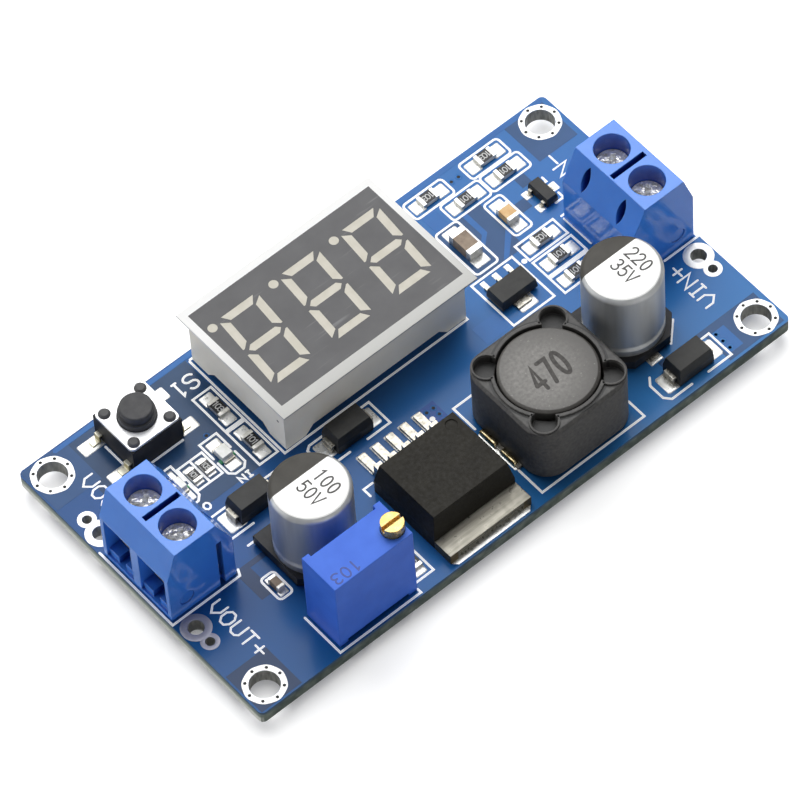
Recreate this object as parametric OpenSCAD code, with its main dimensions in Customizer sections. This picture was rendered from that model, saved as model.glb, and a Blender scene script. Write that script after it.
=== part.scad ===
// Voltage converter module with a three digit meter, on a board with two screw terminal blocks.
// Frame: the origin is the middle of the mounting hole pattern on the board's underside. +X runs
// from the output end to the input end, +Y towards the display's long edge, and +Z up.

/* [Board] */
// Length of the board
board_l = 66; // [66:0.5:72]
// Width of the board
board_w = 36; // [36:0.5:40]
// Thickness of the board
board_t = 1.6; // [1.2:0.1:2]
// Radius of the board's corners
board_corner = 0.6; // [0.3:0.1:1.5]
// Diameter of the mounting holes
mount_hole_d = 3; // [2.6:0.1:3.2]
// Distance of a mounting hole from both of its edges
mount_margin = 2.35; // [2.2:0.05:2.6]
// Diameter of the large wire holes
wire_hole_d = 1.6; // [1.3:0.1:1.8]
// Diameter of the small wire holes
probe_hole_d = 0.95; // [0.75:0.05:1.1]
// Distance of the wire holes from the board's ends
wire_hole_inset = 1.6; // [1.5:0.1:1.9]
// Depth of the solder joints below the board
solder_h = 1.2; // [1:0.1:1.5]
// Length of the cut pins beyond the solder joints
pin_tail = 0.3; // [0.2:0.1:0.5]

/* [Terminal blocks] */
// Depth of a block from its wire side to its back
term_d = 7.8; // [7.6:0.1:7.9]
// Width of a block across its two poles
term_w = 10; // [10:0.1:10.4]
// Height of a block
term_h = 10; // [9.9:0.1:11]
// Distance between the two poles
term_pitch = 5.05; // [5:0.05:5.1]
// Gap between a block's wire side and the end of the board
term_inset = 0.4; // [0.3:0.05:0.5]
// Place of both blocks across the board
term_y = 0.45; // [0.35:0.05:0.6]
// Height of the upright wire side below its slope
term_front_h = 6.5; // [6.4:0.1:6.8]
// Height of the upright back below its slope
term_back_h = 6.2; // [5.8:0.1:6.6]
// Distance of the pole axes from the wire side
pole_u = 3.6; // [3.55:0.05:3.65]
// Diameter of the screw holes in the top
screw_hole_d = 3.6; // [3.55:0.05:3.8]
// Diameter of a screw's head
screw_head_d = 3.4; // [3.2:0.05:3.45]
// Diameter of a screw's shank
screw_shank_d = 2.4; // [2.2:0.1:2.5]
// Depth of a screw's head below the top
screw_recess = 2.4; // [2.3:0.05:2.45]
// Width of a clamp cage
cage_w = 3.5; // [3.4:0.05:3.6]
// Travel of a clamp cage from open to closed
clamp_travel = 1.5; // [1.2:0.1:1.6]

/* [Display] */
// Length of the display's shell
disp_l = 22.5; // [22.3:0.1:22.6]
// Width of the display's shell
disp_w = 14; // [13.8:0.1:14.1]
// Height of the display above the board
disp_h = 7; // [6.8:0.1:8]
// Height of the four feet under the shell
disp_foot_h = 1; // [0.8:0.1:1.2]
// Thickness of the shell's walls
disp_wall = 1.2; // [1:0.1:1.4]
// Length of the face film
film_l = 24; // [23.6:0.1:24.2]
// Width of the face film
film_w = 16; // [15.4:0.1:16]
// Thickness of the face film
film_t = 0.2; // [0.15:0.05:0.3]
// Height of a digit
digit_h = 9.35; // [9:0.05:9.4]
// Width of a digit
digit_w = 4.84; // [4.6:0.02:4.86]
// Distance from one digit to the next
digit_pitch = 7.52; // [7.4:0.02:7.6]
// Lean of the digits in degrees
digit_lean = 5; // [0:0.5:6]
// Width of a segment
segment_w = 0.86; // [0.7:0.02:0.9]
// Diameter of a decimal point
point_d = 0.98; // [0.8:0.02:1]

/* [Push button] */
// Side of the square switch
switch_s = 6; // [5.8:0.1:6.2]
// Height of the switch to the top of its cover plate
switch_h = 3.4; // [3.2:0.1:3.6]
// Diameter of the button's upper part
button_d = 3.3; // [3:0.1:3.4]
// Height of the button above the cover plate
button_h = 1.6; // [1.2:0.1:3]
// Travel of the button
button_travel = 0.25; // [0.2:0.05:0.3]

/* [Inductor] */
// Side of the square shield
ind_s = 12; // [11.6:0.1:12.2]
// Height of the inductor
ind_h = 7.5; // [7:0.1:8]
// Diameter of the drum core's top disc
ind_disc_d = 9.8; // [9.4:0.1:10]
// Radius of the scallops at the shield's corners
scallop_r = 1.25; // [1:0.05:1.4]

/* [Capacitors] */
// Diameter of both cans
cap_d = 8; // [7.6:0.1:8.1]
// Height of both capacitors
cap_h = 10.4; // [9:0.1:12]
// Side of a capacitor's plastic base
cap_base = 8.3; // [8.2:0.05:8.35]

/* [Regulator] */
// Width of the regulator's body and tab
reg_w = 10; // [9.8:0.1:10.2]
// Length of the regulator's body
reg_l = 8.7; // [8.4:0.1:8.8]
// Height of the regulator
reg_h = 4.4; // [4.2:0.1:4.8]
// Length of the tab beyond the body
reg_tab = 2.3; // [1.8:0.1:2.4]
// Distance from one pin to the next
reg_pitch = 1.72; // [1.6:0.02:1.8]

/* [Trimmer] */
// Length of the trimmer's case
trim_l = 9.4; // [9.2:0.1:9.5]
// Width of the trimmer's case
trim_w = 4.75; // [4.5:0.05:4.8]
// Height of the trimmer's case above the board
trim_h = 9.7; // [9:0.1:10.5]
// Diameter of the adjusting screw
trim_screw_d = 2.3; // [2:0.1:2.4]
// Height of the adjusting screw above the case
trim_screw_h = 1.1; // [0.8:0.1:1.6]

/* [Small parts] */
// Length of a diode's body
diode_l = 4.3; // [4.1:0.1:4.5]
// Width of a diode's body
diode_w = 2.5; // [2.3:0.1:2.6]
// Height of a diode
diode_h = 2.2; // [2:0.1:2.4]
// Length of a chip resistor
chip_l = 2; // [1.9:0.05:2.1]
// Width of a chip resistor
chip_w = 1.25; // [1.15:0.05:1.3]
// Thickness of a chip resistor
chip_h = 0.5; // [0.4:0.05:0.6]

/* [Hidden] */
$fn = 48;
// A cut tool runs this far past the faces that it opens
over = 1;
// Middle of the board's ends, from which what sits at an end is placed
end_x = board_l / 2;
pin_below = solder_h + pin_tail;
solder_rim = 0.45;

// Wire holes: a large and a small one beside each pole, mirrored about the block's middle
wire_hole_y = 7.05;
probe_hole_y = 9.1;
hole_x = end_x - wire_hole_inset;

// Terminal block: wall, chamber, sill and contact, in the block's own u (depth), v (width), z
term_slope_u = 1.15;
term_back_u = 1.75;
chamber_w = 3.9;
chamber_u = 6.6;
chamber_floor = 0.5;
chamber_top = term_front_h - 0.2;
split_u = 0.5;
split_l = 4.2;
split_w = 0.6;
split_deep = 4;
groove_u = 1.9;
groove_w = 0.6;
groove_deep = 0.7;
groove_up = 0.8;
mark_u = 2;
mark_z = 2;
mark_d = 1.7;
mark_deep = 0.12;
sill_u = 0.3;
sill_d = 1.3;
sill_h = 0.9;
sill_gap = 1;
cage_d = 3.4;
cage_t = 0.45;
cage_floor = chamber_floor + 0.1;
bar_z = 3;
bar_t = 0.6;
bar_w = 2.2;
bar_u = 1.1;
contact_pin_t = 0.5;
contact_pin_w = 1;
contact_pin_u = 5.85;
contact_hole_d = 1.3;
cage_roof = bar_z + bar_t + 0.15;
cage_roof_t = 0.7;
head_top = term_h - screw_recess;
head_under = cage_roof + cage_roof_t + clamp_travel + 0.1;
cross_w = 0.5;
cross_deep = 0.6;

// Display: the shell's middle, the film's slight offset and the pin rows
disp_x = -1.13;
disp_y = 9.95;
film_x = 0.08;
film_y = -0.05;
digits_x = 0.19;
digits_y = 0.18;
disp_cell_h = 1.6;
disp_foot_s = 2.4;
disp_base_z = disp_foot_h + 0.4;
disp_pin_d = 0.5;
disp_pin_pitch = 2.54;
disp_row_edge = 0.72;
disp_row = disp_w - 2 * disp_wall - 2 * disp_row_edge;
segment_cut = 0.46;
segment_slant = 0.6;
segment_end = 0.37;
segment_point = 0.2;
point_x = -2.92;
point_y = 4.27;
pin_hole_d = 0.9;

// Push button: its place across the board, its cover, posts, legs and button foot
switch_y = 13.6;
cover_t = 0.3;
cover_corner = 0.5;
post_at = 2.2;
post_d = 1.2;
post_h = 0.25;
collar_d = button_d + 0.45;
collar_h = button_h * 0.45;
cover_hole_d = collar_d + 0.16;
foot_d = collar_d + 0.5;
foot_t = 0.5;
foot_play = 0.05;
well_d = foot_d + 0.16;
well_floor = 1.2;
dome_d = well_d - 0.1;
dome_t = 0.12;
foot_z = switch_h - cover_t - foot_t - foot_play;
dome_gap = 0.05;
dome_h = foot_z - button_travel - dome_gap - well_floor;
leg_pitch = 4.4;
leg_w = 0.75;
leg_t = 0.2;
leg_reach = 1.2;
leg_z = 1;

// Inductor: place across the board, shield corner, core and terminal
ind_y = -10.75;
ind_corner = 2.6;
ind_stand = 0.35;
ind_edge = 0.3;
ind_bore_d = ind_disc_d + 0.5;
ind_core_neck = 5;
ind_flange = 1.5;
scallop_at = 4.15;
scallop_deep = 1.1;
lip_t = 0.35;
lip_h = 0.2;
ind_term_w = 5.6;
ind_term_d = 2.6;
ind_term_out = 0.45;
ind_term_t = 0.3;

// Capacitors: base and lead sizes
cap_base_h = 1.4;
cap_base_z = 0.25;
cap_chamfer = 1.9;
cap_seat = 0.5;
cap_groove_z = 2.6;
cap_lead_w = 0.9;
cap_lead_out = 0.35;
cap_lead_in = 1;

// Regulator: place of the body's front edge, bevels, tab and pins
reg_y = -14.95;
reg_bevel = 0.45;
reg_tab_t = 1.25;
reg_waist_z = 1.9;
reg_pin_w = 0.85;
reg_pin_t = 0.45;
reg_pin_out = 3.8;
reg_pin_foot = 2.4;
reg_pin_z = 1.7;
reg_pin_hold = 0.6;
reg_slug_in = 0.6;
reg_slug_end = 2;
reg_notch_side = 1;
reg_notch_deep = 0.35;
reg_notch_roof = 0.5;
reg_mark_d = 1.2;
reg_mark_deep = 0.1;
reg_mark_at = [3.5, 2.9];

// Trimmer: place across the board, case ribs, screw place and depth
trim_y = -14.85;
trim_stand = 0.4;
trim_rib = 0.4;
trim_screw_x = trim_l / 2 - 1.05;
trim_screw_y = -0.75;
trim_screw_deep = 6;
trim_pin_d = 0.5;

// Small parts: leads, packages and plated ends
diode_lead_w = 1.4;
diode_lead_out = 0.45;
diode_lead_t = 0.25;
diode_lead_z = 1;
diode_hold = 0.3;
diode_foot = 0.05;
diode_gap = 0.1;
diode_bevel = 0.2;
supply_size = [4.4, 2.45, 1.2];
supply_frame_t = 0.3;
supply_bevel = 0.12;
supply_pitch = 1.52;
supply_lead = [0.44, 1.5];
supply_lead_y = 0.6;
supply_tab = [1.7, 2.3];
supply_tab_y = -1.95;
transistor_size = [1.35, 2.9, 1];
transistor_gap = 0.1;
transistor_bevel = 0.08;
transistor_pitch = 1.9;
transistor_lead = [0.55, 0.3, 0.6, 0.42, 0.14];
ceramic_size = [2, 1.3, 0.95];
ceramic_large = [3.2, 1.6, 1.25];
ceramic_small = [1.6, 0.8, 0.8];
led_size = [1.25, 2, 0.75];
led_carrier_t = 0.3;
led_lens_in = 0.35;
small_chip = 0.8;
end_part = 0.2;
led_end = 0.2;
end_skin = 0.03;
controller_size = [6.5, 4.4, 0.95];
controller_gap = 0.1;
controller_waist = 0.5;
controller_bevel = 0.12;
controller_pitch = 0.65;
controller_lead = [1, 0.55, 0.6, 0.24, 0.15];

// Row of large parts between the backs of the two blocks. The length that they leave free is
// shared out over the gaps, counted from the output side: capacitor, chip, regulator, inductor and
// capacitor.
row_l = 2 * (end_x - term_inset - term_d);
row_free = row_l - 2 * cap_base - chip_w - reg_w - ind_s - 2 * ind_term_out;
cap_out_x = -row_l / 2 + 0.373 * row_free + cap_base / 2;
chip_mid_x = -row_l / 2 + 0.449 * row_free + cap_base + chip_w / 2;
reg_x = -row_l / 2 + 0.678 * row_free + cap_base + chip_w + reg_w / 2;
ind_x = -row_l / 2 + 0.862 * row_free + cap_base + chip_w + reg_w + ind_term_out + ind_s / 2;
cap_in_x = row_l / 2 - 0.04 * row_free - cap_base / 2;
cap_out_y = -7.25;
cap_in_y = -8.3;
trim_set = 0.75;
trim_x = cap_out_x - trim_set;

// Between the output end and the display: the switch, the lamps below it and two chips
out_l = end_x + disp_x - disp_l / 2;
out_free = out_l - switch_s - 2 * leg_reach - chip_w;
switch_x = -end_x + 0.652 * out_free + leg_reach + switch_s / 2;
chip_out_x = disp_x - disp_l / 2 - 0.109 * out_free - chip_w / 2;
lamp_y = 6.5;
lamp_in_set = 4.49;
lamp_out_set = -1.14;
pair_set = 1.55;
pair_pitch = 1.5;
leds = [[switch_x + lamp_in_set, lamp_y], [switch_x + lamp_out_set, lamp_y]];
resistors_small = [for (s = [-1, 1]) [switch_x + pair_set + s * pair_pitch / 2, lamp_y]];

// Between the display and the input end: places as shares of that length
function in_x(share) = disp_x + disp_l / 2 + share * (end_x - disp_x - disp_l / 2);
supply_at = [in_x(0.226), 2.2];
transistor_at = [in_x(0.655), 8.9];
resistors_x = [[in_x(0.598), 16], [in_x(0.613), 13.4], [in_x(0.279), 16], [in_x(0.393), 13.4],
    [in_x(0.497), 5.03], [in_x(0.497), 2.4], [in_x(0.493), -0.1]];
resistors_y = [[chip_out_x, 10.85], [chip_out_x, 5.78], [chip_mid_x, -14.6]];
diode_reg_set = 2.65;
diode_cap_set = 1.45;
diodes = [[reg_x - diode_reg_set, 0.4], [in_x(0.524), -15.5], [cap_out_x - diode_cap_set, 0.4]];
ceramic_set = 5.53;
ceramic_y = -8.1;
ceramics = [[in_x(0.471), 9.25]];
ceramics_small = [[cap_out_x - ceramic_set, ceramic_y]];
ceramics_large = [[in_x(0.235), 9.2]];
controller_at = [disp_x, disp_y];

module round_rect(l, w, r) {
    square([l, w - 2 * r], center = true);
    square([l - 2 * r, w], center = true);
    for (x = [-1, 1], y = [-1, 1]) translate([x * (l / 2 - r), y * (w / 2 - r)]) circle(r);
}

// A block whose four upper edges are bevelled, standing on its base
module bevelled_block(l, w, h, waist, bevel) {
    intersection() {
        rotate([90, 0, 0]) linear_extrude(w + 2, center = true)
            polygon([[-l / 2, 0], [l / 2, 0], [l / 2, waist], [l / 2 - bevel, h],
                [-l / 2 + bevel, h], [-l / 2, waist]]);
        rotate([90, 0, 90]) linear_extrude(l + 2, center = true)
            polygon([[-w / 2, 0], [w / 2, 0], [w / 2, waist], [w / 2 - bevel, h],
                [-w / 2 + bevel, h], [-w / 2, waist]]);
    }
}

// A bent lead of one thickness: out along +X at height z, down, and out again on the pad
module bent_lead(out, foot, z, w, t) {
    knee = out - foot;
    translate([0, w / 2, 0]) rotate([90, 0, 0]) linear_extrude(w)
        polygon([[0, z - t], [knee - t, z - t], [knee - t, 0], [out, 0], [out, t], [knee, t],
            [knee, z], [0, z]]);
}

module shaped_lead(sizes) {
    bent_lead(sizes[0], sizes[1], sizes[2], sizes[3], sizes[4]);
}

module on_board(x, y) {
    translate([x, y, board_t]) children();
}

// Frames of the two blocks: u runs inwards from the wire side
module at_output() {
    translate([-end_x + term_inset, term_y, board_t]) children();
}
module at_input() {
    translate([end_x - term_inset, term_y, board_t]) rotate([0, 0, 180]) children();
}
module each_pole() {
    for (s = [-1, 1]) translate([0, s * term_pitch / 2, 0]) children();
}

// Places of every pin that goes through the board, for the board's holes and the joints
function contact_places() = [for (e = [-1, 1], s = [-1, 1])
    [e * (end_x - term_inset - contact_pin_u - contact_pin_t / 2), term_y + s * term_pitch / 2]];
function display_places() = [for (i = [-2.5:1:2.5], s = [-1, 1])
    [disp_x + i * disp_pin_pitch, disp_y + s * disp_row / 2]];
function trimmer_places() = [for (i = [-1, 0, 1])
    [trim_x + i * disp_pin_pitch, trim_y + (i == 0 ? 1 : -1) * disp_pin_pitch / 4]];

module board() color("royalblue") {
    difference() {
        linear_extrude(board_t) round_rect(board_l, board_w, board_corner);
        for (x = [-1, 1], y = [-1, 1])
            translate([x * (board_l / 2 - mount_margin), y * (board_w / 2 - mount_margin), -over])
                cylinder(d = mount_hole_d, h = board_t + 2 * over);
        for (x = [-1, 1], y = [-1, 1]) {
            translate([x * hole_x, term_y + y * wire_hole_y, -over])
                cylinder(d = wire_hole_d, h = board_t + 2 * over);
            translate([x * hole_x, term_y + y * probe_hole_y, -over])
                cylinder(d = probe_hole_d, h = board_t + 2 * over);
        }
        for (p = contact_places()) translate([p[0], p[1], -over])
            cylinder(d = contact_hole_d, h = board_t + 2 * over);
        for (p = concat(display_places(), trimmer_places())) translate([p[0], p[1], -over])
            cylinder(d = pin_hole_d, h = board_t + 2 * over);
    }
}

// A collar of solder that fills the hole and stands as a cone around the pin below the board
module solder_cone(hole_d) {
    rotate_extrude() polygon([[0, board_t], [hole_d / 2, board_t], [hole_d / 2, 0],
        [hole_d / 2 + solder_rim, 0], [hole_d / 2 + solder_rim / 4, -solder_h / 2],
        [hole_d / 2 - solder_rim / 6, -solder_h], [0, -solder_h]]);
}

module solder_joint(hole_d, pin) {
    difference() {
        solder_cone(hole_d);
        translate([-pin[0] / 2, -pin[1] / 2, -solder_h - over])
            cube([pin[0], pin[1], board_t + solder_h + 2 * over]);
    }
}

module round_solder_joint() {
    difference() {
        solder_cone(pin_hole_d);
        translate([0, 0, -solder_h - over])
            cylinder(d = disp_pin_d, h = board_t + solder_h + 2 * over);
    }
}

module solder_joints() color("silver") {
    for (p = contact_places()) translate(p)
        solder_joint(contact_hole_d, [contact_pin_t, contact_pin_w]);
    for (p = concat(display_places(), trimmer_places())) translate(p) round_solder_joint();
}

module terminal_block() color("royalblue") {
    difference() {
        translate([0, term_w / 2, 0]) rotate([90, 0, 0]) linear_extrude(term_w)
            polygon([[0, 0], [0, term_front_h], [term_slope_u, term_h], [term_d - term_back_u, term_h],
                [term_d, term_back_h], [term_d, 0]]);
        each_pole() {
            translate([-over, -chamber_w / 2, chamber_floor])
                cube([over + chamber_u, chamber_w, chamber_top - chamber_floor]);
            translate([pole_u, 0, chamber_top - over])
                cylinder(d = screw_hole_d, h = term_h);
            translate([contact_pin_u, -contact_pin_w / 2, -over])
                cube([contact_pin_t, contact_pin_w, 2 * over]);
            back_slit();
        }
        translate([term_slope_u + split_u, -split_w / 2, term_h - split_deep])
            cube([split_l, split_w, split_deep + over]);
        translate([term_d - groove_u, -term_w / 2 - over, -over])
            cube([groove_w, over + groove_deep, over + term_back_h + groove_up]);
        for (s = [-1, 1]) translate([mark_u, s * (term_w / 2 + over - mark_deep), mark_z])
            rotate([90, 0, 0]) cylinder(d = mark_d, h = 2 * over, center = true);
    }
    each_pole() for (s = [-1, 1])
        translate([sill_u, s * (chamber_w + sill_gap) / 4 - (chamber_w - sill_gap) / 4,
            chamber_floor]) cube([sill_d, (chamber_w - sill_gap) / 2, sill_h]);
}

// A pointed slit through the back slope, above the clamp chamber
module back_slit() {
    slit_r = 2.5;
    slit_half = 0.45;
    translate([chamber_u - 1, 0, 8]) rotate([90, 0, 90]) linear_extrude(term_d)
        intersection() {
            translate([slit_r - slit_half, 0]) circle(slit_r);
            translate([slit_half - slit_r, 0]) circle(slit_r);
        }
}

module output_terminal_block() at_output() terminal_block();
module input_terminal_block() at_input() terminal_block();

// A zinc plated screw: cross and slot in its head, a plain shank in place of its thread
module clamp_screw() color("lightgray") {
    translate([pole_u, 0, 0]) difference() {
        union() {
            translate([0, 0, head_under]) cylinder(d = screw_head_d, h = head_top - head_under);
            translate([0, 0, bar_z + bar_t + 0.05])
                cylinder(d = screw_shank_d, h = head_under - bar_z - bar_t - 0.05);
        }
        for (a = [45, 135]) rotate([0, 0, a])
            translate([-screw_head_d / 3, -cross_w / 2, head_top - cross_deep])
                cube([screw_head_d / 1.5, cross_w, cross_deep + over]);
    }
}

// A steel box that the screw lifts, so that its floor presses the wire up against the bar
module clamp_cage() color("gainsboro") {
    translate([pole_u, 0, 0]) difference() {
        translate([-cage_d / 2, -cage_w / 2, cage_floor])
            cube([cage_d, cage_w, cage_roof + cage_roof_t - cage_floor]);
        translate([-cage_d, -cage_w / 2 + cage_t, cage_floor + cage_t])
            cube([2 * cage_d, cage_w - 2 * cage_t, cage_roof - cage_floor - cage_t]);
        translate([0, 0, cage_roof - over])
            cylinder(d = screw_shank_d + 0.1, h = cage_roof_t + 2 * over);
    }
}

module pole(side) {
    translate([0, side * term_pitch / 2, 0]) children();
}

module output_plus_screw() at_output() pole(-1) clamp_screw();
module output_minus_screw() at_output() pole(1) clamp_screw();
module input_plus_screw() at_input() pole(1) clamp_screw();
module input_minus_screw() at_input() pole(-1) clamp_screw();
module output_plus_clamp() at_output() pole(-1) clamp_cage();
module output_minus_clamp() at_output() pole(1) clamp_cage();
module input_plus_clamp() at_input() pole(1) clamp_cage();
module input_minus_clamp() at_input() pole(-1) clamp_cage();

// The fixed bar inside each cage, bent down at the back into the pin through the board
module contacts() color("silver") {
    each_pole() {
        translate([bar_u, -bar_w / 2, bar_z])
            cube([contact_pin_u + contact_pin_t - bar_u, bar_w, bar_t]);
        translate([contact_pin_u, -contact_pin_w / 2, -board_t - pin_below])
            cube([contact_pin_t, contact_pin_w, board_t + pin_below + bar_z]);
    }
}
module output_contacts() at_output() contacts();
module input_contacts() at_input() contacts();

// The seven segments and the point of one digit, leaning with the digit. The outer edges of the
// segments are the longer ones, and the middle bar has pointed ends.
module digit() {
    lean = tan(digit_lean);
    w = digit_w / 2;
    h = digit_h / 2;
    bar = segment_w / 2;
    tip = w - segment_cut;
    inner = tip - segment_slant;
    multmatrix([[1, lean, 0, 0], [0, 1, 0, 0], [0, 0, 1, 0], [0, 0, 0, 1]]) {
        polygon([[-tip, 0], [-tip + bar, -bar], [tip - bar, -bar], [tip, 0], [tip - bar, bar],
            [-tip + bar, bar]]);
        polygon([[-inner, h - segment_w], [inner, h - segment_w], [tip, h], [-tip, h]]);
        polygon([[-tip, -h], [tip, -h], [inner, segment_w - h], [-inner, segment_w - h]]);
        for (a = [0, 180]) rotate(a) {
            polygon(upright_segment(w, h));
            polygon([for (p = upright_segment(w, h)) [p[0], -p[1]]]);
        }
    }
    translate([point_x, point_y]) circle(d = point_d);
}

function upright_segment(w, h) = [[w, segment_end], [w, h - segment_cut],
    [w - segment_w, h - segment_cut - segment_slant], [w - segment_w, segment_end + segment_slant],
    [w - segment_point, segment_end]];

module digits() {
    for (i = [-1, 0, 1]) translate([digits_x + i * digit_pitch, digits_y]) digit();
}

module display_shell() color("whitesmoke") {
    top = disp_h - film_t;
    cell_z = top - disp_cell_h;
    on_board(disp_x, disp_y) difference() {
        translate([-disp_l / 2, -disp_w / 2, 0]) cube([disp_l, disp_w, top]);
        translate([-disp_l / 2 + disp_wall, -disp_w / 2 + disp_wall, -over])
            cube([disp_l - 2 * disp_wall, disp_w - 2 * disp_wall, cell_z + over]);
        rotate([90, 0, 0]) linear_extrude(disp_w + 2 * over, center = true) foot_gap(disp_l);
        rotate([90, 0, 90]) linear_extrude(disp_l + 2 * over, center = true) foot_gap(disp_w);
        translate([0, 0, cell_z - over]) linear_extrude(disp_cell_h + 2 * over) digits();
    }
}

// The gap between two feet of one side, with slanted ends
module foot_gap(side) {
    half = side / 2 - disp_foot_s;
    polygon([[-half, 0], [-half, -over], [half, -over], [half, 0], [half - disp_foot_h, disp_foot_h],
        [-half + disp_foot_h, disp_foot_h]]);
}

module display_film() color("dimgray") {
    on_board(disp_x, disp_y) difference() {
        translate([film_x - film_l / 2, film_y - film_w / 2, disp_h - film_t])
            cube([film_l, film_w, film_t]);
        translate([0, 0, disp_h - film_t - over]) linear_extrude(film_t + 2 * over) digits();
    }
}

module display_segments() color("ivory") {
    on_board(disp_x, disp_y) translate([0, 0, disp_h - film_t - disp_cell_h])
        linear_extrude(disp_cell_h + film_t) digits();
}

module display_base() color("beige") {
    on_board(disp_x, disp_y)
        translate([-disp_l / 2 + disp_wall, -disp_w / 2 + disp_wall, disp_base_z])
            cube([disp_l - 2 * disp_wall, disp_w - 2 * disp_wall,
                disp_h - film_t - disp_cell_h - disp_base_z]);
}

module display_pins() color("silver") {
    for (p = display_places()) translate([p[0], p[1], -pin_below])
        cylinder(d = disp_pin_d, h = pin_below + board_t + disp_base_z);
}

// Moulded switch base with a round well and four posts that rivet the cover plate down
module switch_body() color([0.1, 0.1, 0.1]) {
    on_board(switch_x, switch_y) {
        difference() {
            translate([-switch_s / 2, -switch_s / 2, 0])
                cube([switch_s, switch_s, switch_h - cover_t]);
            translate([0, 0, well_floor]) cylinder(d = well_d, h = switch_h);
        }
        for (x = [-1, 1], y = [-1, 1]) translate([x * post_at, y * post_at, 0])
            rotate_extrude() polygon([[0, 0], [post_d / 2, 0], [post_d / 2, switch_h + post_h / 3],
                [post_d / 3, switch_h + post_h], [0, switch_h + post_h]]);
    }
}

module switch_cover() color("whitesmoke") {
    on_board(switch_x, switch_y) translate([0, 0, switch_h - cover_t]) difference() {
        linear_extrude(cover_t) round_rect(switch_s, switch_s - 0.2, cover_corner);
        translate([0, 0, -over]) cylinder(d = cover_hole_d, h = cover_t + 2 * over);
        for (x = [-1, 1], y = [-1, 1]) translate([x * post_at, y * post_at, -over])
            cylinder(d = post_d, h = cover_t + 2 * over);
    }
}

module switch_button() color([0.25, 0.25, 0.26]) {
    on_board(switch_x, switch_y) translate([0, 0, foot_z]) rotate_extrude()
        polygon([[0, 0], [foot_d / 2, 0], [foot_d / 2, foot_t], [collar_d / 2, foot_t],
            [collar_d / 2, switch_h + collar_h - foot_z], [button_d / 2, switch_h + collar_h - foot_z],
            [button_d / 2, switch_h + button_h - foot_z - 0.12],
            [button_d / 2 - 0.12, switch_h + button_h - foot_z], [0, switch_h + button_h - foot_z]]);
}

// The snap dome under the button, with the button's travel left above it
module switch_dome() color("silver") {
    on_board(switch_x, switch_y) translate([0, 0, well_floor]) rotate_extrude()
        polygon([[dome_d / 2 - 0.5, 0], [dome_d / 2, 0], [dome_d / 4, dome_h - dome_t],
            [0, dome_h], [0, dome_h - dome_t], [dome_d / 4 - 0.2, dome_h - 2.5 * dome_t]]);
}

module switch_legs() color("silver") {
    on_board(switch_x, switch_y) for (a = [0, 180], y = [-1, 1]) rotate([0, 0, a])
        translate([switch_s / 2, y * leg_pitch / 2, 0])
            bent_lead(leg_reach, leg_reach - 0.4, leg_z, leg_w, leg_t);
}

// Ferrite shield: a rounded square tube with a lip around its bore and four corner scallops
module inductor_shield() color([0.2, 0.2, 0.21]) {
    on_board(ind_x, ind_y) difference() {
        union() {
            translate([0, 0, ind_stand]) intersection() {
                linear_extrude(ind_h - lip_h - ind_stand) round_rect(ind_s, ind_s, ind_corner);
                bevelled_block(ind_s, ind_s, ind_h - lip_h - ind_stand,
                    ind_h - lip_h - ind_stand - ind_edge, ind_edge);
            }
            cylinder_at(ind_h - lip_h - over, ind_bore_d + 2 * lip_t, lip_h + over);
        }
        cylinder_at(ind_stand + ind_flange, ind_bore_d, ind_h);
        each_scallop(ind_h - scallop_deep) cylinder(r = scallop_r, h = scallop_deep + over);
    }
}

module each_scallop(z) {
    for (a = [45:90:315]) rotate([0, 0, a]) translate([scallop_at * sqrt(2), 0, z]) children();
}

module cylinder_at(z, d, h) {
    translate([0, 0, z]) cylinder(d = d, h = h);
}

// Drum core: the wound neck and the round disc that shows in the top of the shield
module inductor_core() color([0.32, 0.32, 0.31]) {
    neck_z = ind_stand + ind_flange;
    on_board(ind_x, ind_y) {
        cylinder_at(neck_z, ind_core_neck, ind_h - neck_z - ind_flange);
        translate([0, 0, ind_h - ind_flange]) rotate_extrude()
            polygon([[0, 0], [ind_disc_d / 2, 0], [ind_disc_d / 2, ind_flange - 0.25],
                [ind_disc_d / 2 - 0.25, ind_flange], [0, ind_flange]]);
    }
}

module inductor_winding() color("peru") {
    neck_z = ind_stand + ind_flange;
    on_board(ind_x, ind_y) translate([0, 0, neck_z]) difference() {
        cylinder(d = ind_disc_d - 0.6, h = ind_h - neck_z - ind_flange);
        translate([0, 0, -over]) cylinder(d = ind_core_neck, h = ind_h);
    }
}

// Two tinned feet under the shield, each turned up a little beyond its side
module inductor_terminals() color("silver") {
    on_board(ind_x, ind_y) for (a = [0, 180]) rotate([0, 0, a])
        translate([ind_s / 2 - ind_term_d + ind_term_out, -ind_term_w / 2, 0])
            cube([ind_term_d, ind_term_w, ind_stand]);
}

// Aluminium can with a rolled top edge and a groove above the base
module capacitor_can() color("silver") {
    r = cap_d / 2;
    edge = 0.6;
    translate([0, 0, cap_base_h - cap_seat]) rotate_extrude() {
        h = cap_h - cap_base_h + cap_seat;
        g = cap_groove_z - cap_base_h + cap_seat;
        difference() {
            union() {
                square([r, h - edge]);
                square([r - edge, h]);
                translate([r - edge, h - edge]) circle(edge);
            }
            translate([r + 0.25, g]) circle(0.5);
            translate([-2 * edge, h - 2 * edge]) square([2 * edge, 3 * edge]);
        }
    }
}

// Moulded base: square, two corners cut off on the positive side, a round seat for the can
module capacitor_base() color([0.12, 0.12, 0.12]) {
    b = cap_base / 2;
    c = cap_chamfer;
    translate([0, 0, cap_base_z]) difference() {
        linear_extrude(cap_base_h - cap_base_z)
            polygon([[-b, b], [b, b], [b, -b + c], [b - c, -b], [-b + c, -b], [-b, -b + c]]);
        translate([0, 0, cap_base_h - cap_base_z - cap_seat]) cylinder(d = cap_d, h = cap_base_h);
    }
}

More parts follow.
